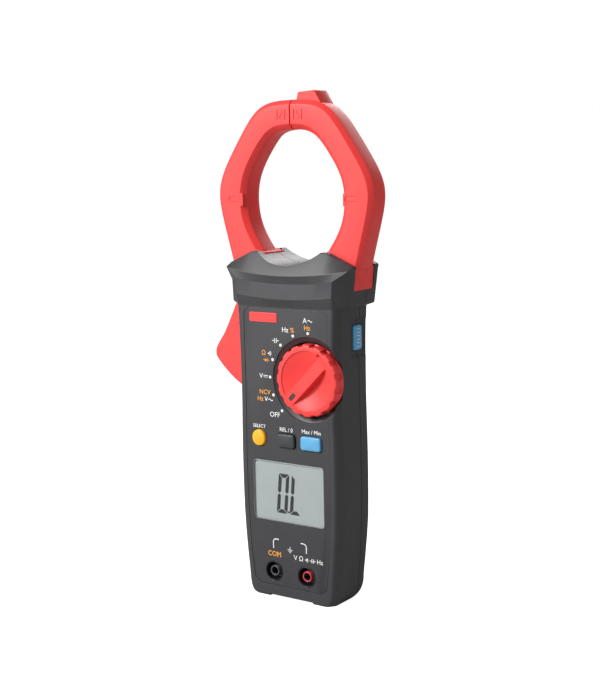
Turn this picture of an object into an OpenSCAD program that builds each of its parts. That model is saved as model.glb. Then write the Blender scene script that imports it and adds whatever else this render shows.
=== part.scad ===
// Clamp meter, standing on its base. X is across, -Y is the display side, +Z is up.
// The origin is the centre of the base.

/* [Case] */
// Half the grip's width at its widest
grip_half_w = 34.2; // [33:0.1:35]
// Depth of the grip in front of the origin
grip_front = 18; // [17.5:0.1:19]
// Depth of the grip behind the origin
grip_back = 18.5; // [18.5:0.1:20]
// Wall of both case halves
wall = 2.2; // [1.8:0.1:2.4]
// Depth position of the seam between the case halves
seam_y = 4; // [3:0.5:5]
// Height at which the head starts to flare from the grip
shoulder_z = 168; // [166:0.5:169]
// Half the head's width at its corners
head_half_w = 41.5; // [40:0.5:43]

/* [Jaws] */
// Height of the middle of the jaw window
window_z = 228; // [226:0.5:230]
// Thickness of the jaws, front to back
jaw_t = 18.6; // [16:0.2:19]
// Depth position of the jaws' middle plane
jaw_y = 0.5; // [0:0.1:1]
// Width of the bevel round the outside of a jaw
jaw_outer_bevel = 2.4; // [1.5:0.1:3]
// Width of the bevel round the inside of a jaw
jaw_inner_bevel = 3.2; // [2:0.1:3.5]
// Gap where the jaws' tips meet
tip_gap = 0.4; // [0.3:0.1:1]
// Half the width of the lever's hinge pin
pivot_r = 2.5; // [2:0.1:3]

/* [Dial] */
// Dial centre, across
dial_x = 15.4; // [15:0.1:16]
// Dial centre, up
dial_z = 128.2; // [127:0.1:129]
// Outer radius of the dial
dial_r = 20.2; // [19:0.1:20.6]
// Angle of the first position, counted from the right
dial_first = 225; // [220:1:230]

/* [Display] */
// Width of the display window
lens_w = 48.2; // [40:0.1:50]
// Height of the display window
lens_h = 34.6; // [28:0.1:35]
// Height of the middle of the display window
lens_z = 62.6; // [60:0.1:64]

/* [Buttons] */
// Height of the row of buttons
button_z = 92.8; // [91:0.1:93]
// How far the buttons travel
button_travel = 0.7; // [0.5:0.05:0.8]

/* [Sockets] */
// Distance between the two sockets
socket_pitch = 22.4; // [19:0.1:23]
// Height of the sockets
socket_z = 15.5; // [15:0.1:17]
// Bore of the socket sleeves, for a 4 mm plug
socket_bore_r = 2.0; // [2:0.05:2.1]

/* [Battery] */
// Diameter of one cell
cell_d = 10.5; // [9.5:0.1:10.5]
// Length of one cell
cell_l = 44.5; // [43:0.1:44.5]

/* [Hidden] */
$fn = 48;

// Colours
charcoal = "#3d3d40";
dark = "#2b2b2e";
red = "#e8393a";
blue = "#5fb4dc";
yellow = "#f5c518";
steel = "#b8bcc2";
brass = "#c9a44c";
copper = "#b8713c";
green = "#2f6b46";
black = "#1b1b1d";
pale = "#c5cbc8";

// General clearances and small sizes
past = 60;               // depth that lies beyond every face, for cutters
part_gap = 0.3;          // between pieces of different bodies
seat_gap = 0.1;          // between pieces that are fastened together
plate_t = 0.6;           // faceplate
front_wall_y = -grip_front + plate_t;
front_inside_y = -grip_front + plate_t + 1.8;
back_inside_y = grip_back - wall;
back_step_y = grip_back - 7.5;
board_front_y = -9.6;
board_t = 1.6;
board_back_y = board_front_y + board_t;

// Jaws: each outline is a rounded polygon in polar form about the window's middle.
// A side is [angle of its normal, its distance].
outer_sides = [[90, 52.5], [35.6, 48.1], [-14.3, 50.8]];
inner_sides = [[90, 36.8], [34.1, 31.9], [-22.6, 31.8], [-62, 36.5]];
outer_power = 13;        // how sharp the outline's corners are
inner_power = 10;
jaw_tip_angle = 90;
jaw_root_angle = -56;
jaw_steps = 36;
jaw_front_y = jaw_y - jaw_t / 2;
jaw_back_y = jaw_y + jaw_t / 2;
jaw_slot_half = jaw_t / 2 + 0.45;
jaw_wall = 1.8;          // case wall on each side of the lever's slot
jaw_skin = 2;

pivot_x = -25;
pivot_z = 172;
boss_r = 8.5;            // jaw shells round the bush
bush_r = 4;
throat_r = 34.3;
throat_z = 225;
fixed_root_x = 14;       // inner edge of the fixed jaw's root
fixed_root_z = 177.8;    // lowest point of its face that shows at the side
jaw_part_y = 3.7;        // plane where the front and rear shells of a jaw meet
fixed_screw = [27, 179]; // case screw through the fixed jaw's root
middle_screw = [0, 180];

trigger_front_y = -6;
trigger_back_y = 7;

badge_x = -14.6;
badge_z = 161.8;
badge_w = 19;
badge_h = 5.4;

lens_t = 1.6;
glass_w = 52;
glass_h = 38;
display_front_y = front_inside_y + 0.2;
strip_h = 2.4;

dial_back_y = -13.3;
dial_rim_y = -20.6;
dial_pocket_r = 21;
dial_cup_r = 23;
dial_dish_r = 24.1;
dial_shaft_r = 5;
dial_floor_front = -13;
dial_floor_back = -11.5;
rotor_r = 13.6;
rotor_back_y = -10.2;
detent_r = 12.5;         // circle on which the detent ball runs
track_half = 1.2;
ball_r = 1;
notch_count = 16;

button_proud = 1.9;
button_flange_y = front_inside_y + part_gap;
button_stem_end = -11.9;
select_x = -19.2;
select_r = 4.7;
relative_x = -0.4;
minmax_x = 16.4;
button_w = 12;
button_h = 7.8;
wide_button_w = 13.4;

hold_y = 4.5;
hold_z = 150.5;
hold_w = 8.6;
hold_h = 14;
hold_wall_x = 33.5;
hold_flange_x = 30;      // face of the button's flange, behind the case wall
hold_stem_x = 28.3;
hold_board_x = 25.6;     // upright board that carries the hold switch

socket_collar_r = 6;
socket_recess_r = 5.4;
socket_post_r = 3.0;
sleeve_r = 2.35;
sleeve_depth = 5;        // how far the sleeve's mouth lies behind the faceplate
socket_back_y = -2;

foot_gap_half = 15;      // space between the two front feet
foot_gap_back = -10;
foot_h = 1.2;

cell_y = 10.9;
cell_bottom = 58;
cell_x = 5.8;
tray_half_w = 13;
tray_bottom = 54;
tray_top = 106.5;
door_half_w = 17.3;
door_bottom = 48;
door_top = 113;
door_mid_z = (door_bottom + door_top) / 2;
door_screw_z = 109.7;

grip_bosses = [[-26.3, 36], [26.3, 36]];
head_bosses = [fixed_screw, middle_screw];
case_screw_points = concat(grip_bosses, head_bosses);
boss_out_r = 3;
head_boss_r = 3.4;
pivot_boss_r = 5.5;
screw_hole_r = 1.1;      // hole that a screw's thread bites into
screw_sink_y = grip_back - 7;
board_screw_points = [[-25, 104], [24, 96]];
socket_neck_r = socket_collar_r - 1.1;
buzzer_z = 36;

// ---- helpers ----

// Extrudes an outline drawn across and up, between two depths.
module slab(from_y, to_y) {
    translate([0, to_y, 0])
        rotate([90, 0, 0])
            linear_extrude(to_y - from_y)
                children();
}

// A round bar along Y.
module bar(x, z, from_y, to_y, r) {
    translate([x, to_y, z])
        rotate([90, 0, 0])
            cylinder(h = to_y - from_y, r = r);
}

// A box given by its low and high corners.
module block(low, high) {
    translate(low)
        cube(high - low);
}

// A flat rectangle with rounded corners, drawn across and up about a centre.
module rounded_flat(x, z, w, h, r) {
    translate([x, z]) {
        square([w - 2 * r, h], center = true);
        square([w, h - 2 * r], center = true);
        for (sx = [-1, 1], sz = [-1, 1])
            translate([sx * (w / 2 - r), sz * (h / 2 - r)])
                circle(r = r);
    }
}

// Mirrors a half outline (right-hand points, bottom to top) into a closed one.
function mirrored(right) =
    concat(right, [for (i = [len(right) - 1 : -1 : 0]) [-right[i][0], right[i][1]]]);

// ---- outlines ----

// Right half of the grip seen from the front, bottom to top.
function grip_right(inset) = [
    [grip_half_w - 9 - inset, inset],
    [grip_half_w - 6.4 - inset, 1 + inset],
    [grip_half_w - 4.6 - inset, 3 + inset],
    [grip_half_w - 3.8 - inset, 6 + inset],
    [grip_half_w - 1.6 - inset, 27],
    [grip_half_w - 0.2 - inset, 48],
    [grip_half_w - inset, 84],
    [grip_half_w - 0.5 - inset, 112],
    [grip_half_w - 0.7 - inset, 130],
    [grip_half_w - 0.6 - inset, 152],
    [grip_half_w + 0.2 - inset, shoulder_z]
];

module grip_outline(inset) {
    polygon(mirrored(grip_right(inset)));
}

// Plan of the head at one height: a rectangle with cut corners.
module head_plan(z, half_w, front, back, corner_x, corner_y) {
    translate([0, 0, z])
        linear_extrude(0.02)
            polygon([
                [-half_w, front + corner_y], [-half_w + corner_x, front],
                [half_w - corner_x, front], [half_w, front + corner_y],
                [half_w, back - corner_y], [half_w - corner_x, back],
                [-half_w + corner_x, back], [-half_w, back - corner_y]
            ]);
}

module grip_solid() {
    hull() {
        slab(-grip_front, -grip_front + 0.1)
            grip_outline(3);
        slab(-grip_front + 2.8, grip_back - 9)
            grip_outline(0);
        slab(grip_back - 2.6, grip_back - 2.5)
            grip_outline(3.2);
        slab(grip_back - 0.1, grip_back)
            grip_outline(8);
    }
}

module head_lower() {
    hull() {
        head_plan(shoulder_z - 1.5, grip_half_w, -grip_front + 0.5, grip_back - 0.5, 4, 4);
        head_plan(shoulder_z + 5.3, head_half_w - 4.5, -grip_front - 1.5, grip_back + 0.5, 5.5, 6);
        head_plan(181.8, head_half_w - 2.5, -grip_front - 1.5, grip_back + 1, 5, 5.5);
    }
}

module head_upper() {
    hull() {
        head_plan(181.8, head_half_w - 2.5, -grip_front - 1.5, grip_back + 1, 5, 5.5);
        head_plan(186.5, head_half_w - 0.9, -grip_front - 3, grip_back + 1.2, 4.6, 5);
        head_plan(189.7, head_half_w, -grip_front - 1.6, grip_back + 0.6, 4.5, 4);
        head_plan(191.3, head_half_w - 0.5, jaw_front_y - 0.5, jaw_back_y + 0.5, 0.6, 0.6);
        head_plan(198.2, 24.3, jaw_front_y - 0.5, jaw_back_y + 0.5, 0.6, 0.6);
    }
}

module throat(r) {
    bar(0, throat_z, -40, 40, r);
}

// Path the moving lever needs, open to the left side of the case.
module lever_slot() {
    slab(jaw_y - jaw_slot_half, jaw_y + jaw_slot_half)
        polygon([
            [-60, 155.5], [-31, 155.5], [-15, 162], [-11, 176], [-13, 187], [-18.6, 194.5],
            [-18.6, 210], [-60, 210]
        ]);
    block([-60, trigger_front_y - 0.45, 112.5], [6, trigger_back_y + 0.45, 163]);
}

// Pocket that holds the root of the fixed jaw, open to the right side above its step.
module fixed_slot(gap) {
    slab(jaw_front_y - gap, jaw_back_y + gap)
        polygon([
            [fixed_root_x - gap, 172 - gap], [34 + gap, 172 - gap], [34 + gap, fixed_root_z - gap],
            [60, fixed_root_z - gap], [60, 210], [18.6 - gap, 210], [18.6 - gap, 194.5],
            [fixed_root_x - gap, 184]
        ]);
}

module case_outer() {
    difference() {
        union() {
            grip_solid();
            head_lower();
            head_upper();
        }
        throat(throat_r);
        block([-foot_gap_half, -40, -1], [foot_gap_half, foot_gap_back, foot_h]);
    }
}

// The part of an outline that lies below the shoulder.
module below_shoulder() {
    intersection() {
        children();
        translate([0, shoulder_z / 2])
            square([200, shoulder_z], center = true);
    }
}

// Hollow inside both case halves, stepped to follow the bevelled back.
module case_hollow() {
    slab(front_inside_y, back_step_y)
        below_shoulder()
            grip_outline(wall + 0.5);
    slab(front_inside_y, back_inside_y)
        below_shoulder()
            grip_outline(wall + 8);
    for (span = [[front_inside_y, jaw_y - jaw_slot_half - jaw_wall],
                 [jaw_y + jaw_slot_half + jaw_wall, back_inside_y]])
        slab(span[0], span[1])
            polygon(mirrored([[30, 160], [33.5, 175], [35.5, 184]]));
}

// Screw columns in the front case.
module front_bosses() {
    for (p = grip_bosses)
        bar(p[0], p[1], front_inside_y - 0.2, seam_y - 0.1, boss_out_r);
    for (p = head_bosses)
        bar(p[0], p[1], front_inside_y - 0.2, jaw_y - jaw_slot_half - 0.5, head_boss_r);
    bar(pivot_x, pivot_z, front_inside_y - 0.2, jaw_y - jaw_slot_half - 0.5, pivot_boss_r);
    bar(middle_screw[0], middle_screw[1], jaw_y - jaw_slot_half - 1, seam_y - 0.1, boss_out_r);
}

// Screw columns in the rear case.
module rear_bosses() {
    for (p = grip_bosses)
        bar(p[0], p[1], seam_y + 0.1, back_inside_y + 0.2, boss_out_r);
    for (p = head_bosses)
        bar(p[0], p[1], jaw_y + jaw_slot_half + 0.5, back_inside_y + 0.2, head_boss_r);
    bar(pivot_x, pivot_z, jaw_y + jaw_slot_half + 0.5, back_inside_y + 0.2, pivot_boss_r);
    bar(middle_screw[0], middle_screw[1], seam_y + 0.1, jaw_y + jaw_slot_half + 1, boss_out_r);
}

// ---- case halves ----

module front_case() {
    color(charcoal)
        difference() {
            union() {
                difference() {
                    case_outer();
                    case_hollow();
                    block([-80, seam_y, -5], [80, 60, 260]);
                }
                dial_cup();
                front_bosses();
            }
            lever_slot();
            fixed_slot(seat_gap);
            slab(-past, front_wall_y)
                faceplate_outline(-0.15);
            slab(-past, -8)
                rounded_flat(0, lens_z, lens_w - 2.6, lens_h - 2.6, 1);
            slab(-past, -grip_front + lens_t + 0.05)
                rounded_flat(0, lens_z, lens_w + 0.2, lens_h + 0.2, 2);
            bar(dial_x, dial_z, -past, dial_floor_front, dial_pocket_r);
            bar(dial_x, dial_z, -past, -5, dial_shaft_r + 0.05);
            difference() {
                bar(dial_x, dial_z, dial_floor_front - 1, dial_floor_front + 0.45, detent_r + track_half);
                bar(dial_x, dial_z, dial_floor_front - 2, dial_floor_front + 1, detent_r - track_half);
            }
            button_holes();
            hold_recess();
            for (s = [-1, 1])
                bar(s * socket_pitch / 2, socket_z, -past, 0, socket_collar_r + seat_gap / 2);
            for (p = case_screw_points)
                bar(p[0], p[1], front_inside_y + 1, past, screw_hole_r);
            bar(pivot_x, pivot_z, front_inside_y + 1, past, pivot_r + 0.02);
        }
}

// Solid that the dial pocket is cut into, inside the case.
module dial_cup() {
    intersection() {
        bar(dial_x, dial_z, front_inside_y - 0.3, dial_floor_back, dial_cup_r);
        slab(-past, 0)
            grip_outline(0.4);
    }
}

module button_holes() {
    bar(select_x, button_z, -past, -12, select_r + part_gap);
    for (b = [[relative_x, button_w], [minmax_x, wide_button_w]])
        slab(-past, -12)
            rounded_flat(b[0], button_z, b[1] + 2 * part_gap, button_h + 2 * part_gap, 1.8);
}

module hold_recess() {
    block([hold_wall_x - 5, hold_y - hold_w / 2 - part_gap, hold_z - hold_h / 2 - part_gap],
          [50, hold_y + hold_w / 2 + part_gap, hold_z + hold_h / 2 + part_gap]);
    block([hold_wall_x - 1, hold_y - 8, hold_z - 11], [50, hold_y + 8, hold_z + 11]);
}

module rear_case() {
    color(charcoal)
        difference() {
            union() {
                difference() {
                    case_outer();
                    case_hollow();
                    block([-80, -60, -5], [80, seam_y, 260]);
                }
                block([-tray_half_w - 1.2, cell_y - 6.7, tray_bottom - 1.2],
                      [tray_half_w + 1.2, back_inside_y + 0.1, tray_top + 1.2]);
                slab(back_inside_y - 1.4, back_inside_y + 0.1)
                    rounded_flat(0, door_mid_z, 2 * door_half_w + 3,
                                 door_top - door_bottom + 3, 4);
                bar(0, door_screw_z, back_inside_y - 5, back_inside_y + 0.1, 2.6);
                rear_bosses();
            }
            lever_slot();
            fixed_slot(seat_gap);
            hold_recess();
            block([-tray_half_w, cell_y - 5.5, tray_bottom], [tray_half_w, 60, tray_top]);
            slab(back_inside_y, past)
                rounded_flat(0, door_mid_z, 2 * door_half_w,
                             door_top - door_bottom, 3);
            bar(0, door_screw_z, back_inside_y - 4, past, screw_hole_r);
            for (p = case_screw_points) {
                bar(p[0], p[1], -10, past, 1.6);
                bar(p[0], p[1], screw_sink_y, past, 2.8);
            }
            bar(pivot_x, pivot_z, -10, back_inside_y - 1, pivot_r + 0.02);
        }
}

// ---- faceplate and display ----

// Edge of the faceplate, drawn in by an amount.
module faceplate_outline(shrink) {
    half_top = grip_half_w - 5.7 - shrink;
    polygon(mirrored([
        [21.2 - shrink, 7 + shrink],
        [25 - shrink, 9.9 + shrink],
        [27.3 - shrink, 30],
        [half_top + 0.1, 60],
        [half_top + 0.2, 84],
        [half_top - 0.4, 125],
        [half_top - 0.2, 164.5 - shrink],
        [24.4 - shrink, 167.8 - shrink]
    ]));
}

module faceplate() {
    color(dark)
        difference() {
            slab(-grip_front, front_wall_y)
                faceplate_outline(0.15);
            slab(-past, 0)
                rounded_flat(0, lens_z, lens_w + 0.2, lens_h + 0.2, 2);
            bar(dial_x, dial_z, -past, 0, dial_dish_r);
            button_holes();
            for (s = [-1, 1])
                bar(s * socket_pitch / 2, socket_z, -past, 0, socket_collar_r + seat_gap / 2);
        }
}

module badge_plate() {
    color(red)
        slab(-grip_front - 0.3, -grip_front)
            rounded_flat(badge_x, badge_z, badge_w, badge_h, 0.8);
}

module display_lens() {
    color(pale, 0.5)
        slab(-grip_front, -grip_front + lens_t)
            rounded_flat(0, lens_z, lens_w, lens_h, 2);
}

module display_glass() {
    color(pale)
        slab(display_front_y, display_front_y + 2.2)
            rounded_flat(0, lens_z, glass_w, glass_h, 0.5);
}

module display_frame() {
    color(black)
        difference() {
            slab(display_front_y, -11.2)
                rounded_flat(0, lens_z, glass_w + 4, glass_h + 4, 1);
            slab(-past, 0)
                rounded_flat(0, lens_z, glass_w + 0.2, glass_h + 0.2, 0.6);
        }
}

module backlight() {
    color("white")
        slab(display_front_y + 2.3, display_front_y + 3.8)
            rounded_flat(0, lens_z, glass_w - 2, glass_h - 2 * strip_h - 1.4, 0.5);
}

module contact_strips() {
    color("#8f8f96")
        for (s = [-1, 1])
            block([-24, display_front_y + 2.2,
                   lens_z + s * (glass_h / 2 - strip_h / 2 - 0.3) - strip_h / 2],
                  [24, board_front_y, lens_z + s * (glass_h / 2 - strip_h / 2 - 0.3) + strip_h / 2]);
}

// ---- circuit board ----

module main_board() {
    color(green)
        difference() {
            slab(board_front_y, board_back_y)
                polygon(mirrored([[22, 5], [27, 26], [28.5, 45], [29, 84], [28, 112], [28, 160],
                                  [24, 163]]));
            for (p = grip_bosses)
                bar(p[0], p[1], -past, 0, 3.6);
            for (s = [-1, 1])
                bar(s * socket_pitch / 2, socket_z, -past, 0, socket_neck_r + seat_gap);
            for (p = board_screw_points)
                bar(p[0], p[1], -past, 0, screw_hole_r);
        }
}

module board_parts() {
    color(black) {
        block([-6, board_back_y, 68], [6, board_back_y + 1.5, 80]);
        block([10, board_back_y, 60], [16, board_back_y + 1.5, 66]);
        block([-22, board_back_y, 84], [-14, board_back_y + 2, 88]);
    }
    color(steel)
        for (i = [0 : 4])
            block([-24 + 4 * i, board_back_y, 48], [-22.4 + 4 * i, board_back_y + 0.9, 51]);
    color("#c08a2e")
        bar(20, 48, board_back_y, board_back_y + 4, 4);
}

module buzzer() {
    color(black)
        difference() {
            bar(0, buzzer_z, board_back_y, board_back_y + 4, 7);
            bar(0, buzzer_z, board_back_y + 3, board_back_y + 5, 1);
        }
}

module board_screws() {
    color(steel)
        for (p = board_screw_points) {
            bar(p[0], p[1], board_back_y, board_back_y + 1.2, 2);
            bar(p[0], p[1], board_front_y - 2, board_back_y + 0.1, 1);
        }
}

// ---- dial ----

module dial() {
    color(red)
        difference() {
            union() {
                bar(dial_x, dial_z, dial_rim_y, dial_back_y, dial_r);
                bar(dial_x, dial_z, dial_back_y - 0.1, -11.3, dial_shaft_r);
            }
            for (i = [0 : notch_count - 1])
                translate([dial_x, 0, dial_z])
                    rotate([0, i * 360 / notch_count + 11.25, 0])
                        block([dial_r - 0.8, -30, -1.5], [dial_r + 2, dial_back_y - 1.5, 1.5]);
            dial_dish();
            detent_pocket();
            translate([dial_x, 0, dial_z])
                rotate([0, -dial_first, 0])
                    pointer_shape(0.02);
            bar(dial_x, dial_z, -15, -11, 1.1);
        }
}

// Hollow of the dial's face on both sides of its bar handle.
module dial_dish() {
    intersection() {
        bar(dial_x, dial_z, dial_rim_y - 1, dial_rim_y + 4.5, dial_r - 3.6);
        translate([dial_x, 0, dial_z])
            rotate([0, -dial_first, 0])
                union() {
                    block([-30, -30, 3.4], [30, 0, 30]);
                    block([-30, -30, -30], [30, 0, -3.4]);
                }
    }
}

// Inlay near the end of the bar handle, drawn for a handle along +X.
module pointer_shape(gap) {
    slab(dial_rim_y - 0.3 + (gap > 0 ? -1 : 0), dial_rim_y + 0.8)
        rounded_flat(12.2, 0, 5 + 2 * gap, 2.4 + 2 * gap, 1.1);
}

module dial_pointer() {
    color(black)
        translate([dial_x, 0, dial_z])
            rotate([0, -dial_first, 0])
                pointer_shape(0);
}

module detent_pocket() {
    translate([dial_x, 0, dial_z])
        rotate([0, -dial_first, 0])
            bar(-detent_r, 0, dial_back_y - 3.8, 0, ball_r + 0.1);
}

module detent_ball() {
    color(steel)
        translate([dial_x, dial_back_y - 0.3, dial_z])
            rotate([0, -dial_first, 0])
                translate([-detent_r, 0, 0])
                    sphere(r = ball_r);
}

module detent_spring() {
    color(steel)
        translate([dial_x, 0, dial_z])
            rotate([0, -dial_first, 0])
                for (i = [0 : 3])
                    translate([-detent_r, dial_back_y - 1.55 - 0.6 * i, 0])
                        rotate([90, 0, 0])
                            ring_wire(0.75, 0.2);
}

// One turn of wire about Z.
module ring_wire(r, wire_r) {
    rotate_extrude()
        translate([r, 0])
            circle(r = wire_r, $fn = 16);
}

module dial_rotor() {
    color("#e6e2d6")
        difference() {
            bar(dial_x, dial_z, dial_floor_back + part_gap, rotor_back_y, rotor_r);
            bar(dial_x, dial_z, -past, 0, 1.1);
        }
}

module dial_wipers() {
    color(brass) {
        translate([dial_x, 0, dial_z])
            rotate([0, -dial_first, 0])
                for (r = [6.5, 9.5, 12.5])
                    block([r - 0.5, rotor_back_y, -3], [r + 0.5, rotor_back_y + 0.4, 3]);
        bar(dial_x, dial_z, -14.5, rotor_back_y, 1.08);
    }
}

// ---- buttons ----

// Stem that carries a button's push to its switch.
module button_stem(x) {
    bar(x, button_z, button_flange_y + 0.7, button_stem_end, 1.5);
}

module select_button() {
    color(yellow) {
        bar(select_x, button_z, -grip_front - button_proud, button_flange_y + 0.1, select_r);
        bar(select_x, button_z, button_flange_y, button_flange_y + 0.8, select_r + 1);
        button_stem(select_x);
    }
}

module square_button(x, w) {
    slab(-grip_front - button_proud, button_flange_y + 0.1)
        rounded_flat(x, button_z, w, button_h, 1.5);
    slab(button_flange_y, button_flange_y + 0.8)
        rounded_flat(x, button_z, w + 2, button_h + 2, 1.5);
    button_stem(x);
}

module relative_button() {
    color(dark)
        square_button(relative_x, button_w);
}

module minmax_button() {
    color(blue)
        square_button(minmax_x, wide_button_w);
}

module hold_button() {
    color(blue)
        translate([0, hold_y, hold_z]) {
            block([hold_flange_x - 0.1, -hold_w / 2, -hold_h / 2],
                  [hold_wall_x + 0.4, hold_w / 2, hold_h / 2]);
            block([hold_flange_x - 0.9, -hold_w / 2 - 1, -hold_h / 2 - 1],
                  [hold_flange_x, hold_w / 2 + 1, hold_h / 2 + 1]);
            block([hold_stem_x, -1.5, -1.5], [hold_flange_x - 0.8, 1.5, 1.5]);
        }
}

module button_switches() {
    color(steel)
        for (x = [select_x, relative_x, minmax_x])
            bar(x, button_z, -11.1, board_front_y, 2.6);
}

module hold_switch() {
    color(green)
        block([hold_board_x, board_back_y, hold_z - 8], [hold_board_x + 1, hold_y + 5, hold_z + 8]);
    color(steel)
        translate([hold_board_x + 1, hold_y, hold_z])
            rotate([0, 90, 0])
                cylinder(h = hold_stem_x - button_travel - 0.1 - hold_board_x - 1, r = 2.6);
}

// ---- jaws ----

// Distance to a rounded polygon's edge at an angle.
function edge_r(angle, sides, power) = pow(
    sum_of([for (s = sides) let (c = cos(angle - s[0])) c > 0.05 ? pow(c / s[1], power) : 0]),
    -1 / power);
function sum_of(list, i = 0) = i >= len(list) ? 0 : list[i] + sum_of(list, i + 1);

function outer_r(angle) = edge_r(angle, outer_sides, outer_power);
function inner_r(angle) = edge_r(angle, inner_sides, inner_power);
function polar(r, angle) = [r * cos(angle), window_z + r * sin(angle)];
function jaw_angle(i, from, to) = from + (to - from) * i / jaw_steps;

// Flat band between the jaw's two outlines, inset from both.
module jaw_band(from, to, inset_in, inset_out) {
    polygon(concat(
        [for (i = [0 : jaw_steps]) let (a = jaw_angle(i, from, to)) polar(outer_r(a) - inset_out, a)],
        [for (i = [jaw_steps : -1 : 0]) let (a = jaw_angle(i, from, to)) polar(inner_r(a) + inset_in, a)]
    ));
}

// Eight corners of the jaw's bevelled section at an angle.
function jaw_section(a) = let (
    ri = inner_r(a), ro = outer_r(a),
    bi = jaw_inner_bevel, bo = jaw_outer_bevel,
    ring = [
        [ri + bi, jaw_front_y], [ro - bo, jaw_front_y], [ro, jaw_front_y + bo], [ro, jaw_back_y - bo],
        [ro - bo, jaw_back_y], [ri + bi, jaw_back_y], [ri, jaw_back_y - bi], [ri, jaw_front_y + bi]
    ])
    [for (p = ring) let (q = polar(p[0], a)) [q[0], p[1], q[1]]];

// Bevelled right-hand jaw arm, from its tip to its root, as one closed surface.
module jaw_arm() {
    sections = [for (i = [0 : jaw_steps]) jaw_section(jaw_angle(i, jaw_tip_angle, jaw_root_angle))];
    n = 8;
    points = [for (s = sections) each s];
    sides = [for (i = [0 : jaw_steps - 1], k = [0 : n - 1])
        each [[i * n + k, (i + 1) * n + (k + 1) % n, (i + 1) * n + k],
              [i * n + k, i * n + (k + 1) % n, (i + 1) * n + (k + 1) % n]]];
    first = [for (k = [n - 1 : -1 : 0]) k];
    last = [for (k = [0 : n - 1]) jaw_steps * n + k];
    translate([tip_gap / 2, 0, 0])
        polyhedron(points, concat([first], sides, [last]));
}

// Root of the fixed jaw, which fills its pocket in the case.
module fixed_root() {
    slab(jaw_front_y, jaw_back_y)
        polygon([
            [fixed_root_x, 172], [34, 172], [34, fixed_root_z], [38.8, fixed_root_z], [40.8, 189.8],
            [38, 196.5], [24, 199], [18.7, 196], [18.7, 194.5], [fixed_root_x, 184]
        ]);
}

// Half of the fixed jaw's shell between two depths.
module fixed_jaw_half(from_y, to_y) {
    intersection() {
        difference() {
            union() {
                difference() {
                    jaw_arm();
                    block([0, -50, 150], [70, 50, 189.4]);
                }
                fixed_root();
                sensor_tab();
            }
            slab(jaw_front_y + jaw_skin + 1.2, jaw_back_y - jaw_skin - 1.2)
                jaw_band(92, -38, jaw_skin + 1.2, jaw_skin);
            sensor_cavity();
            bar(fixed_screw[0], fixed_screw[1], -past, past, 1.6);
        }
        block([-5, from_y, 160], [80, to_y, 300]);
    }
}

// Tab on the top of the fixed jaw that holds the voltage sensor.
module sensor_tab() {
    slab(jaw_y - 6, jaw_y + 6)
        polygon([[2.4, 278], [3.9, 285], [16.6, 285.4], [19.6, 283.6], [22, 273]]);
}

module sensor_cavity() {
    slab(jaw_y - 1, jaw_y + 1)
        polygon([[6, 279], [6.5, 283.5], [15, 283.5], [16, 279]]);
}

module sensor_plate() {
    color(copper)
        slab(jaw_y - 0.5, jaw_y + 0.5)
            polygon([[6.6, 279.4], [7, 283.1], [14.4, 283.1], [15.3, 279.4]]);
}

module fixed_jaw_front() {
    color(red)
        fixed_jaw_half(jaw_front_y - 1, jaw_part_y);
}

module fixed_jaw_rear() {
    color(red)
        fixed_jaw_half(jaw_part_y, jaw_back_y + 1);
}

module core_shape() {
    slab(jaw_y - 4.6, jaw_y + 4.6)
        jaw_band(89.5, -36, jaw_skin + 3, jaw_skin + 2.6);
}

module coil_shape() {
    difference() {
        slab(jaw_y - 5.8, jaw_y + 5.8)
            jaw_band(50, 0, jaw_skin + 1.5, jaw_skin + 0.6);
        slab(jaw_y - 4.65, jaw_y + 4.65)
            jaw_band(55, -5, jaw_skin + 2.95, jaw_skin + 2.55);
    }
}

module fixed_core() {
    color(steel)
        core_shape();
}

module fixed_coil() {
    color(copper)
        coil_shape();
}

module moving_core() {
    color(steel)
        mirror([1, 0, 0])
            core_shape();
}

module moving_coil() {
    color(copper)
        mirror([1, 0, 0])
            coil_shape();
}

// Outline of the moving jaw's root round the pivot.
module moving_root_outline() {
    overlap_angle = jaw_root_angle + 5;
    inner = polar(inner_r(overlap_angle) + jaw_inner_bevel, overlap_angle);
    outer = polar(outer_r(overlap_angle) - jaw_outer_bevel, overlap_angle);
    polygon([
        [-inner[0], inner[1]], [-outer[0], outer[1]], [-38.3, 171], [-37.4, 167.5],
        [-33.5, 164.3], [pivot_x, pivot_z - boss_r], [pivot_x + boss_r, pivot_z], [-16, 186],
        [-19.2, 196.5]
    ]);
    translate([pivot_x, pivot_z])
        circle(r = boss_r);
}

// Half of the moving jaw's shell between two depths.
module moving_jaw_half(from_y, to_y) {
    intersection() {
        difference() {
            union() {
                difference() {
                    mirror([1, 0, 0])
                        jaw_arm();
                    throat_end();
                }
                slab(jaw_front_y, jaw_back_y)
                    moving_root_outline();
            }
            slab(jaw_front_y + jaw_skin + 1.2, jaw_back_y - jaw_skin - 1.2)
                mirror([1, 0])
                    jaw_band(92, -38, jaw_skin + 1.2, jaw_skin);
            bar(pivot_x, pivot_z, -past, past, bush_r);
            bar(pivot_x, pivot_z, -3.2, 4.2, 7.6);
            trigger_tongue(seat_gap / 2);
        }
        block([-80, from_y, 150], [5, to_y, 300]);
    }
}

// Trims the arm's end where it passes the throat wall.
module throat_end() {
    block([-60, -50, 150], [0, 50, 173.6]);
    slab(-50, 50)
        polygon([[-18.7, 150], [0, 150], [0, 210], [-18.7, 210]]);
}

module moving_jaw_front() {
    color(red)
        moving_jaw_half(jaw_front_y - 1, jaw_part_y);
}

module moving_jaw_rear() {
    color(red)
        moving_jaw_half(jaw_part_y, jaw_back_y + 1);
}

// Part of the trigger that is clamped between the jaw's shells.
module trigger_tongue(gap) {
    slab(jaw_y - 3 - gap, jaw_y + 3 + gap)
        polygon([
            [-36.5 - gap, 160], [-36.5 - gap, 171 + gap], [-33.5 + gap, 171 + gap], [-33.5 + gap, 160]
        ]);
}

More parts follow.
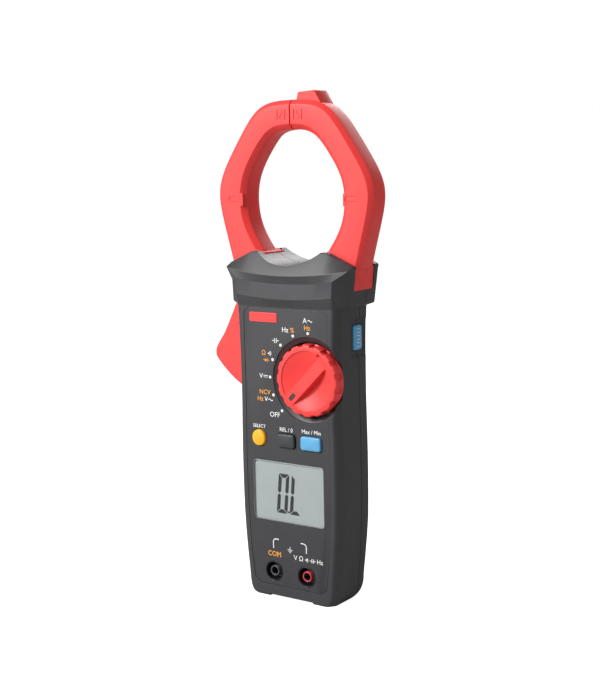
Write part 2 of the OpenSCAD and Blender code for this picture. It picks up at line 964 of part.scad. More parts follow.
module trigger() {
    color(red) {
        difference() {
            slab(trigger_front_y, trigger_back_y)
                polygon([
                    [-38.4, 163.4], [-42.9, 163.2], [-47.4, 156.8], [-51.5, 149], [-55.2, 143.6],
                    [-58.2, 139.4], [-59.1, 137.2], [-58.7, 135.2], [-56.8, 132.6], [-52.6, 128.3],
                    [-45.4, 122.3], [-38.6, 118.4], [-34.5, 117.3], [-31.5, 118], [-30, 122],
                    [-34, 136], [-33, 150], [-28, 160], [-26, 163.4]
                ]);
            slab(trigger_front_y + 3, trigger_back_y - 3)
                polygon([[-36, 158], [-46, 150], [-53.2, 137.6], [-46, 128], [-36.5, 124], [-38, 140]]);
        }
        trigger_tongue(0);
    }
}

module pivot_bush() {
    color(brass)
        difference() {
            bar(pivot_x, pivot_z, jaw_front_y - 0.2, jaw_back_y + 0.2, bush_r);
            bar(pivot_x, pivot_z, -past, past, pivot_r + 0.05);
        }
}

module pivot_pin() {
    color(steel)
        bar(pivot_x, pivot_z, front_inside_y + 1.2, back_inside_y - 1.2, pivot_r);
}

module return_spring() {
    color(steel)
        for (i = [0 : 4])
            translate([pivot_x, -2.2 + 1.35 * i, pivot_z])
                rotate([90, 0, 0])
                    ring_wire(6, 0.6);
}

// ---- sockets ----

module socket_body(x) {
    difference() {
        union() {
            bar(x, socket_z, -grip_front - 0.6, board_front_y, socket_collar_r);
            bar(x, socket_z, board_front_y - 0.1, socket_back_y, socket_neck_r);
        }
        bar(x, socket_z, -past, board_front_y - 1.2, socket_recess_r);
        bar(x, socket_z, -past, past, socket_post_r);
    }
}

module socket_post(x) {
    difference() {
        bar(x, socket_z, -grip_front + 1, socket_back_y, socket_post_r);
        bar(x, socket_z, -past, past, sleeve_r);
    }
}

module com_socket() {
    color(black)
        socket_body(-socket_pitch / 2);
}

module volt_socket() {
    color(black)
        socket_body(socket_pitch / 2);
}

module com_post() {
    color("#55565a")
        socket_post(-socket_pitch / 2);
}

module volt_post() {
    color(red)
        socket_post(socket_pitch / 2);
}

module socket_sleeves() {
    color(brass)
        for (s = [-1, 1])
            difference() {
                bar(s * socket_pitch / 2, socket_z, -grip_front + sleeve_depth,
                    socket_back_y + 2, sleeve_r);
                bar(s * socket_pitch / 2, socket_z, -past, socket_back_y + 1, socket_bore_r);
            }
}

// ---- battery ----

module battery_door() {
    color(charcoal)
        difference() {
            slab(back_inside_y + 0.3, grip_back)
                rounded_flat(0, door_mid_z, 2 * door_half_w - 0.4,
                             door_top - door_bottom - 0.4, 2.8);
            bar(0, door_screw_z, -past, past, 1.6);
            bar(0, door_screw_z, grip_back - 1, past, 2.5);
            for (i = [0 : 4])
                block([-8, grip_back - 0.5, 53 + 2.2 * i], [8, grip_back + 1, 54 + 2.2 * i]);
        }
}

module door_screw() {
    color(steel)
        screw(0, door_screw_z, grip_back - 1, 5, 1.05, 2.3);
}

// A pan-head screw whose head starts at head_y and whose shank runs forward.
module screw(x, z, head_y, length, r, head_r) {
    difference() {
        bar(x, z, head_y, head_y + 0.8, head_r);
        block([x - 1.6, head_y + 0.35, z - 0.3], [x + 1.6, head_y + 2, z + 0.3]);
        block([x - 0.3, head_y + 0.35, z - 1.6], [x + 0.3, head_y + 2, z + 1.6]);
    }
    bar(x, z, head_y - length, head_y + 0.1, r);
}

module case_screws() {
    color(steel)
        for (p = case_screw_points)
            screw(p[0], p[1], screw_sink_y, 21, 1.08, 2.4);
}

module batteries() {
    color("#3a5f9a")
        for (s = [-1, 1])
            translate([s * cell_x, cell_y, cell_bottom + (s > 0 ? cell_l : 0)])
                rotate([s > 0 ? 180 : 0, 0, 0]) {
                    cylinder(h = cell_l - 0.9, r = cell_d / 2);
                    cylinder(h = cell_l, r = 1.9);
                }
}

module battery_contacts() {
    color(steel) {
        block([-12, cell_y - 4, tray_top - 0.6], [12, cell_y + 4, tray_top - 0.1]);
        for (s = [-1, 1])
            block([s * cell_x - 4.4, cell_y - 4, tray_bottom + 0.1],
                  [s * cell_x + 4.4, cell_y + 4, tray_bottom + 0.6]);
        for (i = [0 : 3]) {
            translate([-cell_x, cell_y, tray_bottom + 1 + 0.84 * i])
                ring_wire(3.4 - 0.4 * i, 0.35);
            translate([cell_x, cell_y, tray_top - 1 - 0.84 * i])
                ring_wire(3.4 - 0.4 * i, 0.35);
        }
    }
}

front_case();
rear_case();
faceplate();
badge_plate();
display_lens();
display_glass();
display_frame();
backlight();
contact_strips();
main_board();
board_parts();
dial();
dial_pointer();
dial_rotor();
dial_wipers();
detent_ball();
detent_spring();
select_button();
relative_button();
minmax_button();
hold_button();
button_switches();
hold_switch();
fixed_jaw_front();
fixed_jaw_rear();
fixed_core();
fixed_coil();
sensor_plate();
moving_jaw_front();
moving_jaw_rear();
moving_core();
moving_coil();
trigger();
pivot_bush();
pivot_pin();
return_spring();
com_socket();
volt_socket();
com_post();
volt_post();
socket_sleeves();
buzzer();
battery_door();
door_screw();
batteries();
battery_contacts();
case_screws();
board_screws();
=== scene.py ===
"""Looks of the clamp meter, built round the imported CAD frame."""

import math

import bmesh
import bpy
from mathutils import Matrix, Vector


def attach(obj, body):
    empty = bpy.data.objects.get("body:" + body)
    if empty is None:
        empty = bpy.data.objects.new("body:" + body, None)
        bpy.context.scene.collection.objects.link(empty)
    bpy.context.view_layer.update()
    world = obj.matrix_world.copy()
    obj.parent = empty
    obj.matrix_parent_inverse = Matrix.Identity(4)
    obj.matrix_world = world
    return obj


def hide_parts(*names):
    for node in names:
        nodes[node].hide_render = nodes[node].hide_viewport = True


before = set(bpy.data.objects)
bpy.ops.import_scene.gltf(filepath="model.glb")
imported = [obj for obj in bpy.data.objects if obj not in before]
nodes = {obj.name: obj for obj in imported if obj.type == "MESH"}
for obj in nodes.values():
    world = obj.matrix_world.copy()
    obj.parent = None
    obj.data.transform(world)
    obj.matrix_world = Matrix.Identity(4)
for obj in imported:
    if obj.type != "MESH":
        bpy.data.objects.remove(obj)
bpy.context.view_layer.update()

MM = 0.001
SMOOTH_BELOW = 32          # degrees

# ---- driving sizes in millimetres, in the CAD frame ----

PANEL_Y = -18.0            # faceplate's front
BACK_Y = 18.5
SEAM_Y = 4.0
WINDOW_Z = 228.0           # middle of the jaw window
JAW_Y = 0.5
JAW_T = 18.6
TIP_GAP = 0.8
PART_Y = 3.7               # parting plane of the jaw shells
THROAT_Z, THROAT_R = 225.0, 34.3
DIAL_X, DIAL_Z, DIAL_R = 15.4, 128.2, 20.2
DIAL_FIRST = 225.0
DIAL_STEP = 22.5
LENS_Z, LENS_W, LENS_H = 62.6, 48.2, 34.6
BUTTON_Z = 92.8
BUTTON_H = 7.8
RELATIVE_X, RELATIVE_W = -0.4, 12.0
MINMAX_X, MINMAX_W = 16.4, 13.4
SELECT_X, SELECT_R = -19.2, 4.7
SOCKET_X, SOCKET_Z = 11.2, 15.5


# ---- materials ----

def new_material(name):
    """A material with its node tree, its Principled shader and a way to add nodes."""
    material = bpy.data.materials.new(name)
    material.use_nodes = True
    tree = material.node_tree
    shader = tree.nodes["Principled BSDF"]
    return material, tree, shader


def add_node(tree, kind, **settings):
    node = tree.nodes.new(kind)
    for key, value in settings.items():
        if hasattr(node, key):
            setattr(node, key, value)
        else:
            node.inputs[key.replace("_", " ").title()].default_value = value
    return node


def plastic(name, colour, rough, grain_mm=0.5, grain=0.12, mottle=0.06, edge_mm=0.25, coat=0.0):
    """Moulded plastic: fine grain bump, slight colour and gloss variation, softened edges."""
    material, tree, shader = new_material(name)
    coords = add_node(tree, "ShaderNodeTexCoord")
    cloud = add_node(tree, "ShaderNodeTexNoise", scale=70.0, detail=4.0)
    fine = add_node(tree, "ShaderNodeTexNoise", scale=1000.0 / grain_mm, detail=2.0)
    tree.links.new(coords.outputs["Object"], cloud.inputs["Vector"])
    tree.links.new(coords.outputs["Object"], fine.inputs["Vector"])
    shade = add_node(tree, "ShaderNodeValToRGB")
    low, high = shade.color_ramp.elements
    low.position, high.position = 0.3, 0.7
    low.color = (*[c * (1 - mottle) for c in colour], 1)
    high.color = (*[min(1, c * (1 + mottle)) for c in colour], 1)
    tree.links.new(cloud.outputs["Fac"], shade.inputs["Fac"])
    tree.links.new(shade.outputs["Color"], shader.inputs["Base Color"])
    gloss = add_node(tree, "ShaderNodeMapRange")
    gloss.inputs["To Min"].default_value = rough - 0.05
    gloss.inputs["To Max"].default_value = rough + 0.06
    tree.links.new(fine.outputs["Fac"], gloss.inputs["Value"])
    tree.links.new(gloss.outputs["Result"], shader.inputs["Roughness"])
    bevel = add_node(tree, "ShaderNodeBevel", samples=4)
    bevel.inputs["Radius"].default_value = edge_mm * MM
    bump = add_node(tree, "ShaderNodeBump")
    bump.inputs["Strength"].default_value = grain
    bump.inputs["Distance"].default_value = 0.12 * MM
    tree.links.new(fine.outputs["Fac"], bump.inputs["Height"])
    tree.links.new(bevel.outputs["Normal"], bump.inputs["Normal"])
    tree.links.new(bump.outputs["Normal"], shader.inputs["Normal"])
    shader.inputs["Coat Weight"].default_value = coat
    shader.inputs["Coat Roughness"].default_value = 0.25
    return material


def metal(name, colour, rough, scratch=0.25):
    """Metal with fine brushed variation of its gloss."""
    material, tree, shader = new_material(name)
    coords = add_node(tree, "ShaderNodeTexCoord")
    brushed = add_node(tree, "ShaderNodeTexNoise", scale=900.0, detail=3.0)
    tree.links.new(coords.outputs["Object"], brushed.inputs["Vector"])
    gloss = add_node(tree, "ShaderNodeMapRange")
    gloss.inputs["To Min"].default_value = max(0.05, rough - scratch / 2)
    gloss.inputs["To Max"].default_value = rough + scratch / 2
    tree.links.new(brushed.outputs["Fac"], gloss.inputs["Value"])
    tree.links.new(gloss.outputs["Result"], shader.inputs["Roughness"])
    tint = add_node(tree, "ShaderNodeValToRGB")
    tint.color_ramp.elements[0].color = (*[c * 0.85 for c in colour], 1)
    tint.color_ramp.elements[1].color = (*colour, 1)
    tree.links.new(brushed.outputs["Fac"], tint.inputs["Fac"])
    tree.links.new(tint.outputs["Color"], shader.inputs["Base Color"])
    shader.inputs["Metallic"].default_value = 1.0
    return material


def ink(name, colour):
    """Printed ink, very slightly uneven."""
    material, tree, shader = new_material(name)
    coords = add_node(tree, "ShaderNodeTexCoord")
    speckle = add_node(tree, "ShaderNodeTexNoise", scale=2500.0, detail=2.0)
    tree.links.new(coords.outputs["Object"], speckle.inputs["Vector"])
    tone = add_node(tree, "ShaderNodeValToRGB")
    tone.color_ramp.elements[0].color = (*[c * 0.86 for c in colour], 1)
    tone.color_ramp.elements[1].color = (*colour, 1)
    tree.links.new(speckle.outputs["Fac"], tone.inputs["Fac"])
    tree.links.new(tone.outputs["Color"], shader.inputs["Base Color"])
    shader.inputs["Roughness"].default_value = 0.55
    return material


def clear_window(name):
    """Thin clear plastic: lets the display through and adds a faint reflection."""
    material, tree, shader = new_material(name)
    shader.inputs["Base Color"].default_value = (0.9, 0.93, 0.92, 1)
    shader.inputs["Roughness"].default_value = 0.08
    through = add_node(tree, "ShaderNodeBsdfTransparent")
    through.inputs["Color"].default_value = (0.97, 0.98, 0.98, 1)
    coords = add_node(tree, "ShaderNodeTexCoord")
    haze = add_node(tree, "ShaderNodeTexNoise", scale=300.0, detail=2.0)
    tree.links.new(coords.outputs["Object"], haze.inputs["Vector"])
    amount = add_node(tree, "ShaderNodeMapRange")
    amount.inputs["To Min"].default_value = 0.008
    amount.inputs["To Max"].default_value = 0.016
    tree.links.new(haze.outputs["Fac"], amount.inputs["Value"])
    mix = add_node(tree, "ShaderNodeMixShader")
    tree.links.new(amount.outputs["Result"], mix.inputs["Fac"])
    tree.links.new(through.outputs["BSDF"], mix.inputs[1])
    tree.links.new(shader.outputs["BSDF"], mix.inputs[2])
    tree.links.new(mix.outputs["Shader"], tree.nodes["Material Output"].inputs["Surface"])
    return material


def board_material():
    """Green solder mask over faint copper tracks."""
    material, tree, shader = new_material("circuit_board")
    coords = add_node(tree, "ShaderNodeTexCoord")
    tracks = add_node(tree, "ShaderNodeTexVoronoi", feature="DISTANCE_TO_EDGE", scale=260.0)
    tree.links.new(coords.outputs["Object"], tracks.inputs["Vector"])
    tone = add_node(tree, "ShaderNodeValToRGB")
    tone.color_ramp.elements[0].position = 0.05
    tone.color_ramp.elements[1].position = 0.08
    tone.color_ramp.elements[0].color = (0.03, 0.2, 0.07, 1)
    tone.color_ramp.elements[1].color = (0.015, 0.09, 0.035, 1)
    tree.links.new(tracks.outputs["Distance"], tone.inputs["Fac"])
    tree.links.new(tone.outputs["Color"], shader.inputs["Base Color"])
    shader.inputs["Roughness"].default_value = 0.3
    return material


CHARCOAL = plastic("case_plastic", (0.034, 0.034, 0.037), 0.5, grain_mm=0.35, grain=0.25)
PANEL = plastic("faceplate_plastic", (0.031, 0.031, 0.034), 0.46, grain_mm=0.3, grain=0.15)
RED = plastic("red_plastic", (0.84, 0.042, 0.038), 0.45, grain_mm=0.5, grain=0.06, mottle=0.03, edge_mm=0.4)
BLACK = plastic("black_plastic", (0.012, 0.012, 0.013), 0.4)
INLAY = plastic("inlay_plastic", (0.03, 0.03, 0.033), 0.4)
GREY_RING = plastic("grey_plastic", (0.11, 0.11, 0.12), 0.4)
RED_RING = plastic("socket_red_plastic", (0.75, 0.08, 0.09), 0.35)
BLUE = plastic("blue_rubber", (0.1, 0.36, 0.62), 0.42, grain_mm=0.6, grain=0.05, mottle=0.03)
YELLOW = plastic("yellow_rubber", (0.9, 0.42, 0.008), 0.35, grain_mm=0.6, grain=0.05, mottle=0.03)
DARK_KEY = plastic("dark_rubber", (0.03, 0.033, 0.036), 0.45, grain_mm=0.6, grain=0.05)
WHITE_PLASTIC = plastic("white_plastic", (0.8, 0.8, 0.78), 0.4)
ROTOR = plastic("rotor_plastic", (0.78, 0.74, 0.66), 0.4)
STRIP = plastic("strip_rubber", (0.3, 0.3, 0.32), 0.7)
WRAP = plastic("cell_wrap", (0.05, 0.12, 0.32), 0.25, grain=0.02)
TAPE = plastic("winding_tape", (0.72, 0.5, 0.1), 0.3)
THROAT_FACE = plastic("throat_plastic", (0.11, 0.11, 0.115), 0.42, grain_mm=0.35, grain=0.1)
GLASS_GREY = plastic("display_grey", (0.36, 0.385, 0.385), 0.35, grain_mm=2.0, grain=0.02, mottle=0.02)
SEGMENT = ink("display_segment", (0.002, 0.002, 0.002))
WHITE_INK = ink("white_ink", (0.85, 0.85, 0.84))
ORANGE_INK = ink("orange_ink", (0.9, 0.36, 0.035))
STEEL = metal("zinc_steel", (0.62, 0.63, 0.65), 0.35)
BRASS = metal("contact_brass", (0.8, 0.6, 0.25), 0.3)
COPPER = metal("copper_sheet", (0.8, 0.42, 0.24), 0.3)
CORE = metal("core_steel", (0.35, 0.36, 0.38), 0.45)
LENS = clear_window("display_window")
BOARD = board_material()


# ---- mesh helpers, all in millimetres ----

def make_mesh(name, points, faces, material, smooth=True):
    mesh = bpy.data.meshes.new(name)
    mesh.from_pydata([tuple(c * MM for c in p) for p in points], [], faces)
    mesh.validate()
    fix = bmesh.new()
    fix.from_mesh(mesh)
    bmesh.ops.recalc_face_normals(fix, faces=fix.faces)
    fix.to_mesh(mesh)
    fix.free()
    piece = bpy.data.objects.new(name, mesh)
    bpy.context.scene.collection.objects.link(piece)
    mesh.materials.append(material)
    if smooth:
        smooth_below(piece, SMOOTH_BELOW)
    return piece


def smooth_below(piece, degrees):
    """Smooth shading across edges flatter than the angle."""
    for polygon in piece.data.polygons:
        polygon.use_smooth = True
    piece.data.set_sharp_from_angle(angle=math.radians(degrees))


def loft(name, rings, material):
    """Closed solid through rings that each have the same number of points."""
    count = len(rings[0])
    points = [p for ring in rings for p in ring]
    faces = []
    for i in range(len(rings) - 1):
        for k in range(count):
            a, b = i * count + k, i * count + (k + 1) % count
            faces.append((a, b, b + count, a + count))
    faces.append(tuple(range(count)))
    faces.append(tuple(range((len(rings) - 1) * count, len(rings) * count)))
    return make_mesh(name, points, faces, material)


def prism(name, outline, from_y, to_y, material):
    """Outline drawn across and up, extruded along Y."""
    return loft(name, [[(x, y, z) for x, z in outline] for y in (from_y, to_y)], material)


def block(name, low, high, material):
    x0, y0, z0 = low
    x1, y1, z1 = high
    return prism(name, [(x0, z0), (x1, z0), (x1, z1), (x0, z1)], y0, y1, material)


def circle_points(x, z, r, count=96):
    return [(x + r * math.cos(2 * math.pi * i / count), z + r * math.sin(2 * math.pi * i / count))
            for i in range(count)]


def bar(name, x, z, from_y, to_y, r, material, count=96):
    return prism(name, circle_points(x, z, r, count), from_y, to_y, material)


def rounded(points, radii, steps=6):
    """Outline with each corner replaced by an arc of its radius."""
    result = []
    total = len(points)
    for i, corner in enumerate(points):
        before = Vector(points[i - 1])
        here = Vector(corner)
        after = Vector(points[(i + 1) % total])
        radius = radii[i] if isinstance(radii, (list, tuple)) else radii
        u, v = (before - here).normalized(), (after - here).normalized()
        half = u.angle(v) / 2
        if radius <= 0 or half > math.radians(89.5):
            result += [tuple(here)] * (steps + 1)
            continue
        reach = min(radius / math.tan(half), (before - here).length * 0.49, (after - here).length * 0.49)
        radius = reach * math.tan(half)
        middle = here + (u + v).normalized() * (radius / math.sin(half))
        start, end = here + u * reach - middle, here + v * reach - middle
        turn = start.angle_signed(end)
        for step in range(steps + 1):
            angle = -turn * step / steps
            rotated = Matrix.Rotation(angle, 2) @ start
            result.append(tuple(middle + rotated))
    return result


def rounded_rect(x, z, w, h, r, steps=6):
    corners = [(x - w / 2, z - h / 2), (x + w / 2, z - h / 2), (x + w / 2, z + h / 2), (x - w / 2, z + h / 2)]
    return rounded(corners, r, steps)


def mirrored(right):
    """Right half of an outline, bottom to top, closed by its mirror image."""
    return right + [(-x, z) for x, z in reversed(right)]


def cut(piece, *cutters, operation="DIFFERENCE"):
    """Boolean with each cutter in turn; the cutters are used up."""
    for cutter in cutters:
        change = piece.modifiers.new("cut", "BOOLEAN")
        change.operation = operation
        change.solver = "EXACT"
        change.object = cutter
        change.material_mode = "TRANSFER"
        with bpy.context.temp_override(object=piece, active_object=piece):
            bpy.ops.object.modifier_apply(modifier=change.name)
        bpy.data.objects.remove(cutter, do_unlink=True)
    return piece


def join(name, first, *others):
    """Several meshes as one piece, without a boolean."""
    for other in others:
        merged = bmesh.new()
        merged.from_mesh(first.data)
        merged.from_mesh(other.data)
        merged.to_mesh(first.data)
        merged.free()
        bpy.data.objects.remove(other, do_unlink=True)
    first.name = name
    return first


def place(piece, body, replaces=(), sharp=SMOOTH_BELOW):
    """Puts a finished piece on its CAD body."""
    smooth_below(piece, sharp)
    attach(piece, body)
    if replaces:
        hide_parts(*replaces)
    return piece


def blend_table(table, at):
    """Smooth value from a list of (position, value), by cubic steps through the points."""
    if at <= table[0][0]:
        return table[0][1]
    for i in range(len(table) - 1):
        if at <= table[i + 1][0]:
            (x0, y0), (x1, y1) = table[i], table[i + 1]
            before = table[max(i - 1, 0)]
            after = table[min(i + 2, len(table) - 1)]
            slope0 = (y1 - before[1]) / (x1 - before[0])
            slope1 = (after[1] - y0) / (after[0] - x0)
            t, span = (at - x0) / (x1 - x0), x1 - x0
            return (y0 * (1 + 2 * t) * (1 - t) ** 2 + slope0 * span * t * (1 - t) ** 2
                    + y1 * t * t * (3 - 2 * t) + slope1 * span * t * t * (t - 1))
    return table[-1][1]


# ---- case: rings round the body, each with a front path and a matching rear path ----

FRONT_STEPS = 16           # spaces along the middle of a ring's front
CORNER_STEPS = 6           # spaces round each softened corner
CASE_SHARP = 12            # degrees; steeper edges of the case are ridges
GRIP_WIDTHS = [(0, 27.4), (1, 29.0), (3, 30.4), (6, 31.3), (14, 32.0), (27, 33.2), (48, 34.5), (84, 34.8),
               (112, 34.3), (130, 34.2), (152, 34.5), (168, 35.2)]
REAR_FOOT_R = 17.0         # round of the rear bottom edge


def ring_path(half_w, y, cut_x, cut_y, soft, bow):
    """Left to right across one face of a ring, its two cut corners softened."""
    corner = rounded([(half_w, y + 60), (half_w, y + cut_y), (half_w - cut_x, y), (0, y)],
                     [0, soft, soft, 0], CORNER_STEPS)[CORNER_STEPS + 1:3 * CORNER_STEPS + 3]
    right = [(x, depth) for x, depth in reversed(corner)]
    inner = right[0][0]
    middle = [(inner * (2 * i / FRONT_STEPS - 1), y) for i in range(1, FRONT_STEPS)]
    left = [(-x, depth) for x, depth in reversed(right)]
    return [(x, depth + bow * (x / half_w) ** 2) for x, depth in left + middle + right]


def case_ring(half_w, front, back, front_cut, back_cut, height, soft=1.2, bow=0.0):
    """Closed ring; height is a number or a function of x and of how far round the corner a point is."""
    near = ring_path(half_w, front, *front_cut, soft, bow)
    far = [(x, -y) for x, y in ring_path(half_w, -back, *back_cut, soft, 0)]
    rise = height if callable(height) else (lambda x, corner: height)
    inner = half_w - front_cut[0]
    ring = []
    for x, y in near + far[::-1]:
        corner = max(0.0, min(1.0, (abs(x) - inner) / (half_w - inner)))
        ring.append((x, y, rise(x, corner)))
    return ring


def bent(middle, rise, side=None):
    """Height of a ridge that dips in the middle, and at the sides runs to a height of its own."""
    def height(x, corner):
        top = middle + rise * (x / 34) ** 2
        return top if side is None else top + (side - top) * corner
    return height


def crest_height(x, corner=0):
    return 198.3 - 0.43 * max(0.0, abs(x) - 24.4)


def lip_height(x, corner=0):
    return crest_height(x) - 0.4


def grip_rings():
    rings = []
    foot = [3 * (1 - math.cos(math.pi / 2 * i / 9)) for i in range(10)]
    heel = [3 + 14 * (i / 9) ** 1.3 for i in range(1, 10)]
    for z in foot + heel + [22, 27, 37, 48, 60, 72, 84, 98, 112, 121, 130, 141, 152, 160, 166.4]:
        half_w = blend_table(GRIP_WIDTHS, z)
        low = max(0.0, 1.6 - z)
        front = PANEL_Y + 0.5 * low * low / 1.6
        under = max(0.0, REAR_FOOT_R - z)
        back = BACK_Y - REAR_FOOT_R + math.sqrt(REAR_FOOT_R ** 2 - under ** 2) + 1.5 * under / REAR_FOOT_R
        back -= 2.6 * max(0.0, 1 - z / 46)
        rings.append(case_ring(half_w, front, back, (3.4, 4.2), (6.5, 7 * min(1, (z + 6) / 20)), z,
                               soft=2.6))
    return rings


def case_body():
    rings = grip_rings()
    rings.append(case_ring(35.2, -18.0, 18.5, (3.4, 4.2), (7, 7), bent(167.7, 0.3, 167.6), soft=2.6))
    rings.append(case_ring(35.4, -18.1, 18.6, (3.6, 4.4), (6.8, 6.8), bent(168.0, 0.3, 168.0), soft=2.4))
    rings.append(case_ring(38.8, -20.2, 19.4, (6.7, 6.0), (6, 6), bent(172.0, 2.1, 169.3), bow=1.0))
    rings.append(case_ring(39.1, -20.3, 19.6, (6.9, 6.2), (6, 6), bent(172.5, 2.2, 170.0), bow=1.0))
    rings.append(case_ring(40.6, -19.5, 19.6, (8.3, 6.8), (6, 6), bent(180.9, 2.1, 181.5), soft=0.7, bow=0.9))
    rings.append(case_ring(40.7, -19.6, 19.6, (8.2, 6.6), (6, 6), bent(181.4, 2.1, 182.0), soft=0.7, bow=1.0))
    rings.append(case_ring(41.4, -21.0, 19.8, (0.9, 0.8), (5.5, 6), bent(185.4, 2.2), soft=0.4, bow=4.7))
    rings.append(case_ring(41.6, -20.8, 19.6, (0.9, 0.8), (5.2, 5.8), bent(185.9, 2.2), soft=0.4, bow=4.7))
    rings.append(case_ring(41.6, -13.4, 14.9, (0.8, 0.7), (0.8, 0.7), lip_height, soft=0.3, bow=0.6))
    rings.append(case_ring(41.4, -13.0, 14.5, (0.7, 0.6), (0.7, 0.6), crest_height, soft=0.3, bow=0.6))
    count = len(rings[0])
    points = [p for ring in rings for p in ring]
    faces = []
    for i in range(len(rings) - 1):
        for k in range(count):
            a, b = i * count + k, i * count + (k + 1) % count
            faces.append((a, b, b + count, a + count))
    top = (len(rings) - 1) * count
    for k in range(count // 2 - 1):
        for base in (0, top):
            faces.append((base + k, base + k + 1, base + count - 2 - k, base + count - 1 - k))
    return make_mesh("case", points, faces, CHARCOAL)


FACEPLATE_RIGHT = [(21.2, 7), (25, 9.9), (27.3, 30), (28.6, 60), (28.7, 84), (28.1, 125), (28.3, 164.5),
                   (24.6, 167.3)]


def faceplate_edge(inset, right_inset=None):
    """Faceplate outline drawn in by an amount, which may differ on the right edge."""
    outline = mirrored(FACEPLATE_RIGHT)
    centre_z = 88
    result = []
    for x, z in outline:
        amount = inset if x < 26 or right_inset is None else right_inset
        near_end = z < 12 or z > 160
        result.append((x - math.copysign(amount, x), z - (math.copysign(amount, z - centre_z) if near_end else 0)))
    return rounded(result, 0.8, 3)


def window_cutters(material):
    """Openings of the front: display, dial, buttons, sockets."""
    holes = [prism("hole", rounded_rect(0, LENS_Z, LENS_W + 0.3, LENS_H + 0.3, 2.0), -30, -8, material)]
    holes.append(loft("hole", [[(x, y, z) for x, z in circle_points(DIAL_X, DIAL_Z, r)]
                               for y, r in ((-30, 24.2), (-18.05, 24.2), (-17.5, 23.9), (-16.0, 21.3),
                                            (-13.0, 21.2))], material))
    holes.append(bar("hole", SELECT_X, BUTTON_Z, -30, -12, SELECT_R + 0.35, material, 64))
    for x, w in ((RELATIVE_X, RELATIVE_W), (MINMAX_X, MINMAX_W)):
        edge = rounded_rect(x, BUTTON_Z, w + 0.7, BUTTON_H + 0.7, 2.0)
        holes.append(prism("hole", edge, -30, -12, material))
    for s in (-1, 1):
        holes.append(bar("hole", s * SOCKET_X, SOCKET_Z, -30, 0, 6.05, material, 72))
    return holes


# Cut with black plastic from build_case, so the pocket walls round the lever's root are painted shade in that gap.
def lever_space(material):
    half = JAW_T / 2 + 0.45
    outline = [(-60, 155.5), (-31, 155.5), (-15, 162), (-11, 176), (-13, 187), (-18.6, 194.5), (-18.6, 212), (-60, 212)]
    return [prism("hole", outline, JAW_Y - half, JAW_Y + half, material),
            block("hole", (-60, -6.45, 112.5), (6, 7.45, 163), material)]


# Cut with black plastic from build_case, so the pocket walls round the fixed jaw's root are painted shade in that gap.
def fixed_space(material):
    half = JAW_T / 2 + 0.3
    outline = [(13.9, 171.9), (34.1, 171.9), (34.1, 177.5), (60, 177.5), (60, 212), (18.5, 212), (18.5, 194.5),
               (13.9, 184)]
    return [prism("hole", outline, JAW_Y - half, JAW_Y + half, material)]


def hollow(material):
    """Room inside the case for the circuit board, the display, the battery tray and the root of the lever."""
    lower = [(21, 3.5), (27, 9), (29.5, 48), (29.8, 84), (29, 125), (29.5, 166)]
    rear = [(20, 10), (22.5, 48), (23, 84), (22.5, 166)]
    return [prism("hole", mirrored(lower), -15.6, 10.5, material),
            prism("hole", mirrored(rear), 10.4, 16.2, material)]


def build_case():
    whole = case_body()
    whole.data.materials.append(THROAT_FACE)
    cut(whole, bar("throat", 0, THROAT_Z, -40, 40, THROAT_R, THROAT_FACE, 192))
    cut(whole, block("foot_gap", (-15, -40, -1), (15, -10, 1.2), CHARCOAL))
    # The black plastic of these cutters lands on the pocket walls: painted shade in the gaps round the jaw roots,
    # darker than the case.
    cut(whole, *lever_space(BLACK), *fixed_space(BLACK))
    front = whole
    rear = bpy.data.objects.new("case_rear", whole.data.copy())
    bpy.context.scene.collection.objects.link(rear)
    front.name = "case_front"
    cut(front, *window_cutters(CHARCOAL))
    cut(front, prism("plate_seat", faceplate_edge(-0.05), -30, PANEL_Y + 0.6, CHARCOAL),
        prism("plate_edge", faceplate_edge(-0.35), -30, PANEL_Y + 0.3, CHARCOAL))
    cut(front, *hollow(CHARCOAL))
    cut(front, block("half", (-80, SEAM_Y - 0.18, -5), (80, 60, 260), CHARCOAL))
    cut(rear, *hollow(CHARCOAL))
    cut(rear, block("half", (-80, -60, -5), (80, SEAM_Y + 0.2, 260), CHARCOAL))
    # The side button's hole is cut with black plastic: its walls are painted shade in the gap round the button.
    hold = [block("hole", (28.5, 4.5 - 4.6, 150.5 - 7.3), (50, 4.5 + 4.6, 150.5 + 7.3), BLACK)
            for _ in range(2)]
    dish = [hold_dish() for _ in range(2)]
    cut(front, dish[0], hold[0])
    cut(rear, dish[1], hold[1])
    door = prism("hole", rounded_rect(0, 80.5, 34.6, 65, 3), 16.3, 30, CHARCOAL)
    cut(rear, door)
    for x, z in ((-26.3, 36), (26.3, 36), (27, 179), (0, 180)):
        cut(rear, bar("hole", x, z, 11.5, 40, 2.8, CHARCOAL, 48))
    place(front, "meter", ["front_case"], CASE_SHARP)
    place(rear, "meter", ["rear_case"], CASE_SHARP)


def hold_dish():
    """Shallow recess round the side button, as wide at its mouth as its slopes make it."""
    outer = rounded_rect(4.5, 150.5, 17, 23, 2.5)
    inner = rounded_rect(4.5, 150.5, 14, 20, 2.0)
    return loft("hole", [[(x, y, z) for y, z in outline]
                         for x, outline in ((40, outer), (33.6, outer), (32.6, inner))], CHARCOAL)


def build_faceplate():
    plate = loft("faceplate_panel", [[(x, y, z) for x, z in edge] for y, edge in
                                     ((PANEL_Y + 0.55, faceplate_edge(0.05)),
                                      (PANEL_Y + 0.3, faceplate_edge(0.05)),
                                      (PANEL_Y, faceplate_edge(0.4, 0.12)))], PANEL)
    cut(plate, *window_cutters(PANEL))
    place(plate, "meter", ["faceplate"])


# ---- soft-edged pads: buttons, badge, lens ----

